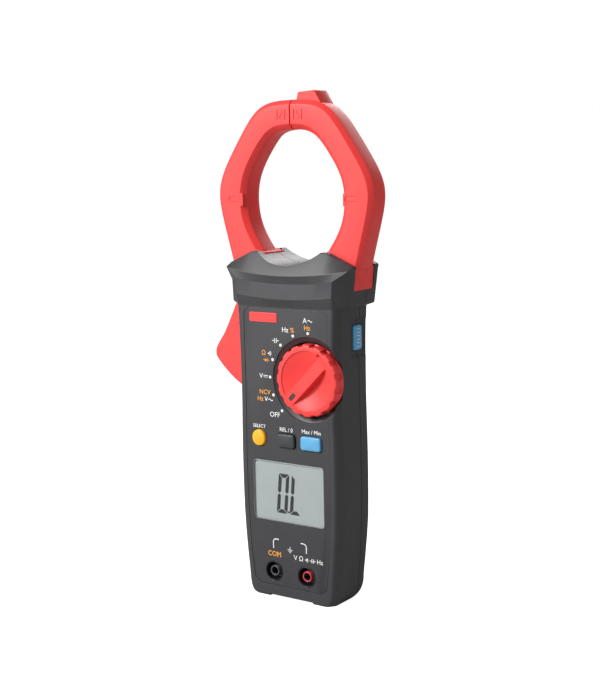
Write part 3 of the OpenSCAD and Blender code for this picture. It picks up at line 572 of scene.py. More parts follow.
def pad(name, outline, back_y, front_y, round_r, crown, material, shoulder=None):
    """Solid with a rounded front edge and a slightly crowned front; outline(inset) gives its edge."""
    rings = [[(x, back_y, z) for x, z in outline(0)]]
    steps = 6
    for i in range(steps + 1):
        angle = math.pi / 2 * i / steps
        inset = round_r * (1 - math.cos(angle))
        y = front_y + round_r * (1 - math.sin(angle))
        rings.append([(x, y, z) for x, z in outline(inset)])
    edge = outline(round_r)
    mid_x = sum(x for x, _ in edge) / len(edge)
    mid_z = sum(z for _, z in edge) / len(edge)
    for size in (0.8, 0.6, 0.4, 0.2, 0.02):
        y = front_y - crown * (1 - size ** 2)
        rings.append([(mid_x + (x - mid_x) * size, y, mid_z + (z - mid_z) * size) for x, z in edge])
    return loft(name, rings, material)


def rect_edge(x, z, w, h, r):
    return lambda inset: rounded_rect(x, z, w - 2 * inset, h - 2 * inset, max(0.2, r - inset * 0.5), 5)


def round_edge(x, z, r):
    return lambda inset: circle_points(x, z, r - inset, 64)


def build_buttons():
    select = pad("select_key_cap", round_edge(SELECT_X, BUTTON_Z, SELECT_R), -15.3, -19.5, 1.2, 0.4, YELLOW)
    place(select, "select_key", ["select_button"])
    edge = rect_edge(RELATIVE_X, BUTTON_Z, RELATIVE_W, BUTTON_H, 1.6)
    relative = pad("relative_key_cap", edge, -15.3, -19.6, 0.9, 0.3, DARK_KEY)
    place(relative, "relative_key", ["relative_button"])
    edge = rect_edge(MINMAX_X, BUTTON_Z, MINMAX_W, BUTTON_H, 1.6)
    minmax = pad("minmax_key_cap", edge, -15.3, -19.6, 0.9, 0.3, BLUE)
    place(minmax, "minmax_key", ["minmax_button"])
    hold = pad("hold_key_cap", rect_edge(4.5, 0, 8.6, 14, 1.6), -30.5, -33.6, 0.8, 0.3, BLUE)
    hold.data.transform(Matrix.Translation((0, 0, 150.5 * MM)) @ Matrix.Rotation(math.pi / 2, 4, "Z"))
    place(hold, "hold_key", ["hold_button"])


def build_display():
    lens = pad("display_window", rect_edge(0, LENS_Z, LENS_W, LENS_H, 2.0), -17.3, -18.3, 0.3, 0.0, LENS)
    edge = plastic("window_edge", (0.5, 0.53, 0.52), 0.3, grain=0.0)
    lens.data.materials.append(edge)
    for face in lens.data.polygons:
        if abs(face.normal.y) < 0.9:
            face.material_index = 1
    place(lens, "meter", ["display_lens"])
    glass = pad("display_panel", rect_edge(0, LENS_Z, LENS_W - 0.1, LENS_H - 0.1, 2.0), -13.2, -17.2, 0.1, 0.0,
                GLASS_GREY)
    place(glass, "meter", ["display_glass"])
    place(seven_segments(), "meter")


def seven_segments():
    """The reading 0L: vertical and horizontal bars with pointed ends, slanted a little."""
    tall, wide, thick = 20.8, 5.1, 2.25
    digits = {"0": "abcdef", "L": "def"}
    spots = {"0": -7.8, "L": 1.2}
    pieces = []
    for name, lit in digits.items():
        left, bottom = spots[name], LENS_Z - 11.3
        half = tall / 2
        bars = {
            "a": ((0, tall), (wide, tall), 1, (True, True)), "d": ((0, 0), (wide, 0), -1, (True, True)),
            "b": ((wide, half), (wide, tall), -1, (False, True)),
            "c": ((wide, 0), (wide, half), -1, (True, False)),
            "e": ((0, 0), (0, half), 1, (True, False)), "f": ((0, half), (0, tall), 1, (False, True)),
        }
        for key in lit:
            pieces.append(segment(left, bottom, *bars[key], thick))
    pieces.append(dot(-0.6, LENS_Z - 11.3, 0.6, SEGMENT, -17.24, -17.2))
    reading = join("display_reading", *pieces)
    return reading


def segment(left, bottom, start, end, outer, mitred, thick):
    """One bar of a digit, sheared to the right: mitred at the digit's corners and pointed elsewhere."""
    shear, gap = 0.09, 0.14
    along = Vector((end[0] - start[0], end[1] - start[1]))
    length = along.length
    along.normalize()
    side = Vector((-along.y, along.x))
    h = thick / 2
    ends = []
    for at, inward, corner in ((0, 1, mitred[0]), (length, -1, mitred[1])):
        if corner:
            ends.append([(at + inward * (2 * gap - h), outer * h), (at + inward * (2 * gap + h), -outer * h)])
        else:
            ends.append([(at + inward * (gap + h), outer * h), (at + inward * gap, 0),
                         (at + inward * (gap + h), -outer * h)])
    flat = ends[0] + ends[1][::-1]
    points = []
    for u, v in flat:
        x = start[0] + along.x * u + side.x * v
        z = start[1] + along.y * u + side.y * v
        points.append((left + x + shear * z, bottom + z))
    return prism("segment", points, -17.24, -17.2, SEGMENT)


def build_badge():
    badge = pad("badge", rect_edge(-14.6, 161.8, 19, 5.4, 0.8), -17.95, -18.28, 0.15, 0.0, RED)
    place(badge, "meter", ["badge_plate"])


# ---- jaws ----

OUTER_SIDES = [(90, 52.7), (34.4, 48.5), (-15.6, 51.2)]
INNER_SIDES = [(90, 36.8), (35.7, 32.4), (-1, 32.9), (-37, 34.9)]
JAW_FRONT = JAW_Y - JAW_T / 2
JAW_BACK = JAW_Y + JAW_T / 2
OUTER_BEVEL, INNER_BEVEL = 2.6, 3.0
REAR_BEVEL = 1.4
OUTER_DRAFT, INNER_DRAFT = 2.0, 2.2   # how far a jaw's sides pull in behind the parting plane
ARM_END = -62
ARM_STEPS = 110


def edge_r(angle, sides, power):
    """Distance to the edge of a polygon with softened corners; a lower power is rounder."""
    total = 0.0
    for normal, distance in sides:
        facing = math.cos(math.radians(angle - normal))
        if facing > 0.05:
            total += (facing / distance) ** power
    return total ** (-1 / power)


def inner_r(angle):
    return edge_r(angle, INNER_SIDES, 10)


def outer_r(angle):
    return edge_r(angle, OUTER_SIDES, 10)


def polar(r, angle):
    return r * math.cos(math.radians(angle)), WINDOW_Z + r * math.sin(math.radians(angle))


def arm_half(split, front):
    """Closed sweep of one half of the right-hand arm, parted at a depth."""
    rings = []
    part = 0.2
    for i in range(ARM_STEPS + 1):
        angle = 90 + (ARM_END - 90) * i / ARM_STEPS
        inner, outer = inner_r(angle), outer_r(angle)
        if front:
            corners = [(inner + part, split), (inner, split - part), (inner, JAW_FRONT + INNER_BEVEL),
                       (inner + INNER_BEVEL, JAW_FRONT), (outer - OUTER_BEVEL, JAW_FRONT),
                       (outer, JAW_FRONT + OUTER_BEVEL), (outer, split - part), (outer - part, split)]
        else:
            near, far = inner + INNER_DRAFT, outer - OUTER_DRAFT
            corners = [(inner + part, split), (inner + 0.1, split + part), (near, JAW_BACK - REAR_BEVEL),
                       (near + REAR_BEVEL, JAW_BACK), (far - REAR_BEVEL, JAW_BACK),
                       (far, JAW_BACK - REAR_BEVEL), (outer - 0.1, split + part), (outer - part, split)]
        section = rounded(corners, [0, 0.1, 0.5, 0.5, 0.5, 0.5, 0.1, 0], 3)
        ring = []
        for r, y in section:
            x, z = polar(r, angle)
            ring.append((x + TIP_GAP / 2, y, z))
        rings.append(ring)
    return loft("arm", rings, RED)


def tip_pocket():
    """Shallow pocket in the tip's end that shows the core's steel face."""
    return block("pocket", (-1, JAW_Y - 4.7, WINDOW_Z + 41.7), (0.7, JAW_Y + 4.7, WINDOW_Z + 48.0), CORE)


def u_mark(x, z, length, height, turn):
    """Groove cutter round a long U that opens away from its round end."""
    path = [(x + length, z + height / 2), (x + height / 2, z + height / 2)]
    for i in range(1, 8):
        angle = math.radians(90 + 180 * i / 8)
        path.append((x + height / 2 + height / 2 * math.cos(angle), z + height / 2 * math.sin(angle)))
    path += [(x + height / 2, z - height / 2), (x + length, z - height / 2)]
    if turn < 0:
        path = [(-px, pz) for px, pz in path]
    return groove(path, 0.55, JAW_FRONT - 0.5, JAW_FRONT + 0.25)


def groove(path, width, from_y, to_y):
    """Prism along an open path of straight pieces."""
    left, right = [], []
    for i, (x, z) in enumerate(path):
        before = Vector(path[max(i - 1, 0)])
        after = Vector(path[min(i + 1, len(path) - 1)])
        along = (after - before).normalized()
        left.append((x - along.y * width / 2, z + along.x * width / 2))
        right.append((x + along.y * width / 2, z - along.x * width / 2))
    return prism("groove", left + right[::-1], from_y, to_y, RED)


def tip_marks():
    """Alignment marks beside a tip: two bars with a small wave between them."""
    cutters = []
    for x in (3.0, 8.2):
        cutters.append(groove([(x, 269.8), (x, 275.4)], 0.6, JAW_FRONT - 0.5, JAW_FRONT + 0.25))
    wave = [(5.6 + 0.9 * math.sin(2 * math.pi * i / 10), 270.4 + 0.44 * i) for i in range(11)]
    cutters.append(groove(wave, 0.5, JAW_FRONT - 0.5, JAW_FRONT + 0.2))
    return cutters


def tip_tab(part_y, front):
    """Tab on top of the fixed jaw that holds the voltage sensor."""
    outline = rounded([(0.9, 276), (3.2, 284.7), (14.6, 285.4), (18.8, 278.6), (19.4, 270)], [0, 1.2, 1.2, 0.6, 0], 5)
    near, far = (JAW_Y - 6.2, part_y - 0.05) if front else (part_y + 0.05, JAW_Y + 6.2)
    soft = 0.8
    top = mirror_free(outline, soft)
    rings = [(near, top), (near + soft, outline), (far, outline)] if front else [
        (near, outline), (far - soft, outline), (far, top)]
    return loft("tab", [[(x, y, z) for x, z in edge] for y, edge in rings], RED)


def mirror_free(outline, inset):
    """Outline drawn in towards its middle."""
    mid_x = sum(x for x, _ in outline) / len(outline)
    mid_z = sum(z for _, z in outline) / len(outline)
    reach = max(abs(x - mid_x) for x, _ in outline)
    return [(mid_x + (x - mid_x) * (1 - inset / reach), mid_z + (z - mid_z) * (1 - inset / reach))
            for x, z in outline]


def fixed_root_half(front, part_y):
    """Root of the fixed jaw, down in the case's pocket, its outer face flush with the case."""
    outline = [(14, 172), (34, 172), (34, 177.9), (39.9, 177.4), (41.2, 189.6), (38.0, 196.5), (24, 199.0),
               (18.7, 196.0), (18.7, 194.4), (14, 183.9)]
    near, far = (JAW_FRONT, part_y - 0.02) if front else (part_y + 0.02, JAW_BACK)
    return prism("root", outline, near, far, RED)


def build_fixed_jaw(part_y):
    for front in (True, False):
        arm = arm_half(part_y - 0.02 if front else part_y + 0.02, front)
        cut(arm, tip_pocket(), block("below", (0, -50, 150), (70, 50, 189.4), RED),
            block("throat_side", (0, -50, 150), (18.7, 50, 199), RED))
        cut(arm, fixed_root_half(front, part_y), operation="UNION")
        cut(arm, tip_tab(part_y, front), operation="UNION")
        if front:
            cut(arm, align_tab(1), operation="UNION")
            cut(arm, *tip_marks(), u_mark(35.0, 226.7, 7.4, 2.7, 1))
        arm.name = "fixed_jaw_shell_front" if front else "fixed_jaw_shell_rear"
        place(arm, "meter", ["fixed_jaw_front" if front else "fixed_jaw_rear"])


def align_tab(side):
    """Small centring tab on the inner bevel, level with the middle of the window."""
    inner = inner_r(-2)
    outline = [(inner + 1.4, 223.2), (inner + 3.2, 222.8), (inner + 3.2, 230.2), (inner + 1.4, 229.8)]
    outline = [(side * x, z) for x, z in outline]
    return prism("tab", outline, JAW_FRONT + 0.02, JAW_FRONT + 3.4, RED)


def moving_root(front, part_y):
    boss = circle_points(-25, 172, 8.5, 64)
    skirt = [(-24.5, 198.4), (-37.0, 196.0), (-41.2, 189.0), (-38.3, 171), (-37.4, 167.5), (-33.5, 164.3),
             (-25, 163.5), (-16.5, 172), (-16, 186), (-19.2, 197.0)]
    near, far = (JAW_FRONT, part_y - 0.02) if front else (part_y + 0.02, JAW_BACK)
    root = prism("root", skirt, near, far, RED)
    return cut(root, prism("boss", boss, near, far, RED), operation="UNION")


def throat_trim():
    """What the arm's end loses where it passes the throat wall."""
    outline = [(-18.9, 150), (0, 150), (0, 212), (-18.9, 212)]
    return prism("trim", outline, -50, 50, RED)


def build_moving_jaw(part_y):
    for front in (True, False):
        arm = arm_half(part_y - 0.02 if front else part_y + 0.02, front)
        cut(arm, tip_pocket())
        if front:
            cut(arm, *tip_marks())
        mirror_x(arm)
        cut(arm, throat_trim(), block("below", (-70, -50, 150), (0, 50, 186), RED))
        cut(arm, moving_root(front, part_y), operation="UNION")
        cut(arm, bar("bore", -25, 172, -60, 60, 4.02, RED, 48), bar("bore", -25, 172, -3.2, 4.2, 7.6, RED, 48))
        cut(arm, prism("tongue", [(-36.6, 160), (-36.6, 171.1), (-33.4, 171.1), (-33.4, 160)], -2.6, 3.6, RED))
        if front:
            cut(arm, align_tab(-1), operation="UNION")
            cut(arm, u_mark(-43.4, 226.6, 6.4, 2.7, 1))
        arm.name = "moving_jaw_shell_front" if front else "moving_jaw_shell_rear"
        place(arm, "jaw_lever", ["moving_jaw_front" if front else "moving_jaw_rear"])


def mirror_x(piece):
    piece.data.transform(Matrix.Scale(-1, 4, (1, 0, 0)))
    piece.data.flip_normals()


TRIGGER = [(-37.0, 168.4), (-42.4, 167.8), (-45.4, 162.6), (-48.2, 157.2), (-52.3, 149.6), (-56.0, 144.4), (-58.6, 140.2),
           (-59.1, 137.2), (-58.7, 135.2), (-56.8, 132.6), (-52.6, 128.3), (-45.4, 122.3), (-38.6, 118.4),
           (-34.5, 117.3), (-31.5, 118), (-30, 122), (-34, 136), (-33, 150), (-28, 160), (-26, 163.4)]


def smooth_outline(points, per_span=5):
    """Closed outline through the points on a smooth curve."""
    result = []
    total = len(points)
    for i in range(total):
        p0, p1, p2, p3 = (Vector(points[(i + k - 1) % total]) for k in range(4))
        for step in range(per_span):
            t = step / per_span
            spot = 0.5 * (2 * p1 + (p2 - p0) * t + (2 * p0 - 5 * p1 + 4 * p2 - p3) * t * t
                          + (3 * p1 - p0 - 3 * p2 + p3) * t ** 3)
            result.append(tuple(spot))
    return result


def inset_outline(outline, amount):
    """Outline moved inward along its own normals."""
    result = []
    total = len(outline)
    area = sum(outline[i - 1][0] * outline[i][1] - outline[i][0] * outline[i - 1][1] for i in range(total))
    sign = 1 if area > 0 else -1
    for i in range(total):
        before, after = Vector(outline[i - 1]), Vector(outline[(i + 1) % total])
        along = (after - before).normalized()
        result.append((outline[i][0] - sign * along.y * amount, outline[i][1] + sign * along.x * amount))
    return result


def build_trigger():
    outline = smooth_outline(TRIGGER)
    soft = 1.2
    turns = [math.pi / 2 * i / 5 for i in range(6)]
    front = [(-6 + soft - soft * math.sin(turn), soft - soft * math.cos(turn)) for turn in turns]
    front.append((-6, soft + 0.4))
    levels = front[::-1] + [(1 - y, inset) for y, inset in front]
    body = loft("trigger_lever", [[(x, y, z) for x, z in inset_outline(outline, inset)] for y, inset in levels],
                RED)
    cut(body, prism("tongue", [(-36.5, 160), (-36.5, 171), (-33.5, 171), (-33.5, 160)], -2.5, 3.5, RED),
        operation="UNION")
    place(body, "jaw_lever", ["trigger"])


# ---- dial ----

def dial_turned(points):
    """Points drawn for a handle along +X, turned to the first position and moved to the dial."""
    c, s = math.cos(math.radians(DIAL_FIRST)), math.sin(math.radians(DIAL_FIRST))
    return [(DIAL_X + u * c - v * s, DIAL_Z + u * s + v * c) for u, v in points]


def dial_edge(inset, depth):
    """Outer edge of the dial with its shallow grip notches."""
    points = []
    count = 288
    for i in range(count):
        angle = 360 * i / count
        off = abs((angle + 11.25 + 11.25) % 22.5 - 11.25)
        notch = depth * max(0.0, min(1.0, (4.6 - off) / 0.9))
        r = DIAL_R - inset - notch
        points.append((r * math.cos(math.radians(angle)), r * math.sin(math.radians(angle))))
    return dial_turned(points)


def dial_scoop(side, rim):
    """Cutter for one finger scoop: half of a shallow bowl, beside the bar handle."""
    mouth, depth, step = 16.8, 4.0, 0.45
    rows = [(mouth, rim - 3), (mouth, rim), (mouth - 0.2, rim + step)]
    for i in range(1, 14):
        r = (mouth - 0.2) * (1 - i / 14)
        rows.append((r, rim + step + depth * (1 - (r / mouth) ** 2) ** 1.3))
    bowl = loft("bowl", [[(x, y, z) for x, z in circle_points(DIAL_X, DIAL_Z, r, 160)] for r, y in rows], RED)
    wall = [(3.15, rim - 4), (3.25, rim), (4.1, rim + 4.9), (20, rim + 4.9), (20, rim - 4)]
    ends = []
    for u in (-20, 20):
        turned = dial_turned([(u, side * v) for v, _ in wall])
        ends.append([(x, y, z) for (x, z), (_, y) in zip(turned, wall)])
    return cut(bowl, loft("beside", ends, RED), operation="INTERSECT")


def build_dial():
    rim = -20.6
    rings = [(-13.4, 0.25, 0.0), (-13.8, 0.0, 0.0), (-14.9, 0.0, 0.0), (-15.3, 0.0, 0.85), (-19.6, 0.1, 0.85),
             (-20.2, 0.35, 0.75), (-20.48, 0.7, 0.5), (rim, 1.15, 0.3)]
    disc = loft("dial_knob", [[(x, y, z) for x, z in dial_edge(inset, depth)] for y, inset, depth in rings], RED)
    for side in (1, -1):
        cut(disc, dial_scoop(side, rim))
    slope = [(-16.9, -5.5), (-12.0, -5.5), (-12.0, 5.5), (-16.9, 5.5)]
    wedge = loft("wedge", [[(x, y, z) for (x, z), y in zip(dial_turned(slope), depths)]
                           for depths in ((-24, -24, -24, -24), (-18.2, -20.65, -20.65, -18.2))], RED)
    cut(disc, wedge)
    inlay = dial_turned(rounded([(10.9, -1.2), (15.9, -1.2), (15.9, 1.2), (10.9, 1.2)], 1.0, 6))
    cut(disc, prism("seat", inlay, -25, -19.9, RED))
    place(disc, "range_dial", ["dial"])
    pointer = loft("dial_inlay", [[(x, y, z) for x, z in inset_outline(inlay, inset)]
                                  for y, inset in ((-19.7, 0.05), (-20.35, 0.05), (-20.45, 0.2))], INLAY)
    place(pointer, "range_dial", ["dial_pointer"])
    shaft = loft("dial_shaft", [[(x, y, z) for x, z in circle_points(DIAL_X, DIAL_Z, r, 48)]
                                for y, r in ((-13.5, 5.0), (-11.7, 5.0), (-11.3, 4.6))], RED)
    place(shaft, "range_dial")


# ---- sockets ----

def tube(name, x, profile, material, count=72):
    """Turned ring about a socket's axis; profile is a closed list of (radius, y)."""
    points, faces = [], []
    size = len(profile)
    for i in range(count):
        angle = 2 * math.pi * i / count
        for r, y in profile:
            points.append((x + r * math.cos(angle), y, SOCKET_Z + r * math.sin(angle)))
    for i in range(count):
        after = (i + 1) % count
        for k in range(size):
            nxt = (k + 1) % size
            faces.append((i * size + k, i * size + nxt, after * size + nxt, after * size + k))
    return make_mesh(name, points, faces, material)


def build_sockets():
    for name, x, ring, slot in (("com", -SOCKET_X, GREY_RING, "grey_plastic"),
                                ("volt", SOCKET_X, RED_RING, "red_plastic")):
        collar = tube(name + "_well", x, [(6.0, -9.6), (6.0, -17.9), (5.85, -18.25), (5.6, -18.35), (5.4, -18.2),
                                          (5.35, -17.8), (5.3, -11.0), (3.05, -10.8), (3.05, -2.1), (4.9, -2.1),
                                          (4.9, -9.6)], BLACK)
        place(collar, "meter", [name + "_socket"])
        post = tube(name + "_ring", x, [(2.36, -2.0), (2.98, -2.0), (2.98, -17.3), (2.88, -17.55), (2.46, -17.55),
                                        (2.36, -17.3)], ring)
        place(post, "meter", [name + "_post"])
        liner = tube(name + "_liner", x, [(1.95, -12.9), (2.33, -12.9), (2.33, -17.2), (2.2, -17.3),
                                          (1.95, -17.0)], BLACK)
        place(liner, "meter")


# ---- print on the faceplate ----

PRINT_Y = PANEL_Y - 0.03


def stroke(path, width, material, closed=False):
    """Thin printed line along straight pieces; a closed one joins its ends."""
    left, right = [], []
    total = len(path)
    for i, (x, z) in enumerate(path):
        before = Vector(path[i - 1] if closed or i > 0 else path[0])
        after = Vector(path[(i + 1) % total] if closed or i < total - 1 else path[i])
        along = (after - before).normalized()
        left.append((x - along.y * width / 2, z + along.x * width / 2))
        right.append((x + along.y * width / 2, z - along.x * width / 2))
    points, faces = [], []
    for y in (PRINT_Y, PANEL_Y + 0.02):
        for a, b in zip(left, right):
            points += [(a[0], y, a[1]), (b[0], y, b[1])]
    spans = total if closed else total - 1
    back = 2 * total
    for i in range(spans):
        a, b = 2 * i, 2 * ((i + 1) % total)
        faces += [(a, a + 1, b + 1, b), (back + a, back + b, back + b + 1, back + a + 1),
                  (a, b, back + b, back + a), (a + 1, back + a + 1, back + b + 1, b + 1)]
    if not closed:
        for a in (0, 2 * (total - 1)):
            faces.append((a, a + 1, back + a + 1, back + a))
    return make_mesh("stroke", points, faces, material, smooth=False)


def lettering(text, x, z, size, material, align="CENTER", bold=0.0):
    """Text in Blender's own font, as a thin mesh on the faceplate."""
    curve = bpy.data.curves.new("letters", "FONT")
    curve.body = text
    curve.size = size * MM
    curve.align_x = align
    curve.align_y = "CENTER"
    curve.extrude = 0.012 * MM
    curve.offset = bold * MM
    curve.resolution_u = 3
    piece = bpy.data.objects.new("letters", curve)
    bpy.context.scene.collection.objects.link(piece)
    bpy.context.view_layer.update()
    mesh = bpy.data.meshes.new_from_object(piece)
    bpy.data.objects.remove(piece, do_unlink=True)
    mesh.transform(Matrix.Translation((x * MM, (PANEL_Y - 0.018) * MM, z * MM))
                   @ Matrix.Rotation(math.pi / 2, 4, "X"))
    mesh.materials.clear()
    mesh.materials.append(material)
    result = bpy.data.objects.new("letters", mesh)
    bpy.context.scene.collection.objects.link(result)
    return result


def dot(x, z, r, material, near=PRINT_Y, far=PANEL_Y + 0.02):
    return prism("dot", circle_points(x, z, r, 28), near, far, material)


def arc_points(x, z, r, start, end, count=10):
    return [(x + r * math.cos(math.radians(start + (end - start) * i / count)),
             z + r * math.sin(math.radians(start + (end - start) * i / count))) for i in range(count + 1)]


def wave_sign(x, z, w, material):
    """Alternating-current sign."""
    path = [(x + w * (i / 12 - 0.5), z + 0.16 * w * math.sin(2 * math.pi * i / 12)) for i in range(13)]
    return stroke(path, 0.45, material)


def direct_sign(x, z, w, material):
    """Direct-current sign: a line over three dashes."""
    pieces = [stroke([(x - w / 2, z + 0.45), (x + w / 2, z + 0.45)], 0.38, material)]
    for i in (-1, 0, 1):
        pieces.append(stroke([(x + (i - 0.3) * w / 3, z - 0.45), (x + (i + 0.3) * w / 3, z - 0.45)], 0.38, material))
    return pieces


def sound_sign(x, z, size, material):
    """Buzzer sign: a dot and three arcs."""
    pieces = [dot(x - size * 0.5, z, 0.36, material)]
    for i in (1, 2, 3):
        pieces.append(stroke(arc_points(x - size * 0.5, z, 0.3 * size * i, -48, 48, 6), 0.32, material))
    return pieces


def diode_sign(x, z, size, material):
    triangle = [(x - size * 0.35, z + size * 0.35), (x + size * 0.25, z), (x - size * 0.35, z - size * 0.35)]
    return [stroke([(x - size * 0.75, z), (x + size * 0.75, z)], 0.34, material),
            prism("sign", triangle, PRINT_Y - 0.005, PANEL_Y + 0.02, material),
            stroke([(x + size * 0.3, z + size * 0.4), (x + size * 0.3, z - size * 0.4)], 0.4, material)]


def capacitor_sign(x, z, size, material):
    pieces = []
    for s in (-1, 1):
        pieces.append(stroke([(x + s * 0.22 * size, z + 0.5 * size), (x + s * 0.22 * size, z - 0.5 * size)], 0.45,
                             material))
        pieces.append(stroke([(x + s * 0.22 * size, z), (x + s * 0.8 * size, z)], 0.4, material))
    return pieces


def ground_sign(x, z, size, material):
    pieces = [stroke([(x, z + 0.8 * size), (x, z)], 0.36, material)]
    for i, half in enumerate((0.75, 0.48, 0.2)):
        level = z - 0.36 * size * i
        pieces.append(stroke([(x - half * size, level), (x + half * size, level)], 0.34, material))
    return pieces


def build_print():
    white, orange = [], []
    for i in range(7):
        angle = math.radians(DIAL_FIRST - DIAL_STEP * i)
        white.append(dot(DIAL_X + 26.2 * math.cos(angle), DIAL_Z + 26.2 * math.sin(angle), 0.85, WHITE_INK))

    def w(text, x, z, size, align="CENTER", bold=0.03):
        white.append(lettering(text, x, z, size, WHITE_INK, align, bold))

    def o(text, x, z, size, align="CENTER", bold=0.03):
        orange.append(lettering(text, x, z, size, ORANGE_INK, align, bold))

    w("OFF", -8.1, 106.9, 4.0)
    o("NCV", -14.7, 119.3, 3.7)
    o("Hz", -18.0, 115.3, 3.7)
    w("V", -13.9, 115.3, 3.7)
    white.append(wave_sign(-10.8, 115.2, 3.0, WHITE_INK))
    w("V", -17.0, 128.4, 3.9)
    white += direct_sign(-13.9, 128.4, 3.0, WHITE_INK)
    o("Ω", -14.9, 141.6, 3.8)
    white += sound_sign(-10.6, 141.6, 2.0, WHITE_INK)
    orange += diode_sign(-13.1, 137.7, 2.6, ORANGE_INK)
    white += capacitor_sign(-6.5, 149.1, 2.8, WHITE_INK)
    w("Hz", 0.2, 155.4, 3.9)
    o("%", 5.0, 155.4, 3.9)
    w("A", 13.6, 161.2, 3.9)
    white.append(wave_sign(17.0, 161.2, 3.0, WHITE_INK))
    o("Hz", 15.0, 157.2, 3.8)
    w("SELECT", -19.2, 99.4, 2.7)
    w("REL / 0", -0.6, 98.9, 3.1)
    w("Max / Min", 16.4, 99.2, 3.2)
    orange.append(lettering("COM", -10.7, 25.6, 4.1, ORANGE_INK, "CENTER", 0.05))
    w("V", 3.9, 25.5, 3.9)
    w("Ω", 7.7, 25.5, 3.9)
    white += sound_sign(11.7, 25.5, 1.8, WHITE_INK)
    white += capacitor_sign(15.6, 25.5, 2.4, WHITE_INK)
    w("Hz", 20.5, 25.5, 3.7)
    white.append(stroke([(-11.4, 29.0), (-11.4, 33.2), (-10.8, 34.2), (-9.6, 34.6), (-7.6, 34.6)], 0.6, WHITE_INK))
    white.append(stroke([(11.4, 29.2), (11.4, 33.2), (10.8, 34.2), (9.6, 34.6), (7.6, 34.6)], 0.6, WHITE_INK))
    white += ground_sign(0.2, 29.6, 2.2, WHITE_INK)
    place(join("white_print", *white), "meter")
    place(join("orange_print", *orange), "meter")


def build_hold_print():
    """Three small marks moulded along the side button."""
    pieces = []
    for z in (146.6, 150.5, 154.4):
        mark = stroke([(3.0, z - 1.1), (6.0, z - 1.1), (6.0, z + 1.1), (3.0, z + 1.1)], 0.4, WHITE_INK)
        pieces.append(mark)
    marks = join("hold_marks", *pieces)
    marks.data.transform(Matrix.Translation(((33.92 - 18.0) * MM, 0, 0)) @ Matrix.Rotation(math.pi / 2, 4, "Z"))
    place(marks, "hold_key")


# ---- back: door, screws ----

def build_door():
    def edge(inset):
        return rounded_rect(0, 80.5, 34.1 - 2 * inset, 64.5 - 2 * inset, 2.8, 6)
    door = loft("battery_cover", [[(x, y, z) for x, z in edge(inset)]
                                  for y, inset in ((16.6, 0.1), (18.15, 0.1), (18.5, 0.45))], CHARCOAL)
    cut(door, bar("hole", 0, 109.7, 10, 30, 1.6, CHARCOAL, 40), bar("hole", 0, 109.7, 17.5, 30, 2.6, CHARCOAL, 48))
    for i in range(6):
        z = 53.2 + 2.2 * i
        half = 8 - 0.5 * i
        ridge = [[(x, y, zz) for x, zz in rounded_rect(0, z, 2 * (half + grow), 1.0 + 2 * grow, 0.5 + grow, 4)]
                 for y, grow in ((17.95, -0.2), (18.5, 0.1), (19, 0.1))]
        cut(door, loft("slot", ridge, CHARCOAL))
    place(door, "meter", ["battery_door"])


def screw_head(x, z, y, r):
    """Domed head with a cross recess."""
    rings = []
    for depth, radius in ((0.0, r * 0.98), (0.35, r), (0.62, r * 0.9), (0.8, r * 0.65), (0.86, r * 0.2)):
        rings.append([(px, y + depth, pz) for px, pz in circle_points(x, z, radius, 40)])
    head = loft("head", rings, STEEL)
    for angle in (0, math.pi / 2):
        long, thin = r * 0.62, r * 0.15
        c, s = math.cos(angle), math.sin(angle)
        corners = [(-long, -thin), (long, -thin), (long, thin), (-long, thin)]
        cut(head, prism("slot", [(x + u * c - v * s, z + u * s + v * c) for u, v in corners], y + 0.3, y + 3, STEEL))
    return head


def screw_piece(x, z, head_y, length, r, head_r):
    shank = loft("shank", [[(px, y, pz) for px, pz in circle_points(x, z, radius, 24)]
                           for y, radius in ((head_y - length, r * 0.5), (head_y - length + 1, r), (head_y, r))],
                 STEEL)
    return join("screw", screw_head(x, z, head_y, head_r), shank)


def build_screws():
    door = screw_piece(0, 109.7, 17.5, 5.5, 1.0, 2.3)
    door.name = "battery_cover_screw"
    place(door, "meter", ["door_screw"])
    case = [screw_piece(x, z, 11.5, 21, 1.05, 2.4) for x, z in ((-26.3, 36), (26.3, 36), (27, 179), (0, 180))]
    place(join("case_screw_set", *case), "meter", ["case_screws"])


# ---- CAD pieces that stay, with finishes ----

KEPT = {
    "display_frame": BLACK, "backlight": WHITE_PLASTIC, "contact_strips": STRIP, "main_board": BOARD,
    "board_parts": BLACK, "buzzer": BLACK, "dial_rotor": ROTOR, "dial_wipers": BRASS, "detent_ball": STEEL,
    "detent_spring": STEEL, "button_switches": STEEL, "hold_switch": STEEL, "fixed_core": CORE,
    "moving_core": CORE, "fixed_coil": TAPE, "moving_coil": TAPE, "sensor_plate": COPPER, "pivot_bush": BRASS,
    "pivot_pin": STEEL, "return_spring": STEEL, "socket_sleeves": BRASS, "batteries": WRAP,
    "battery_contacts": STEEL, "board_screws": STEEL,
}


def finish_kept():
    for name, material in KEPT.items():
        node = nodes[name]
        node.data.materials.clear()
        node.data.materials.append(material)


# ---- stage ----

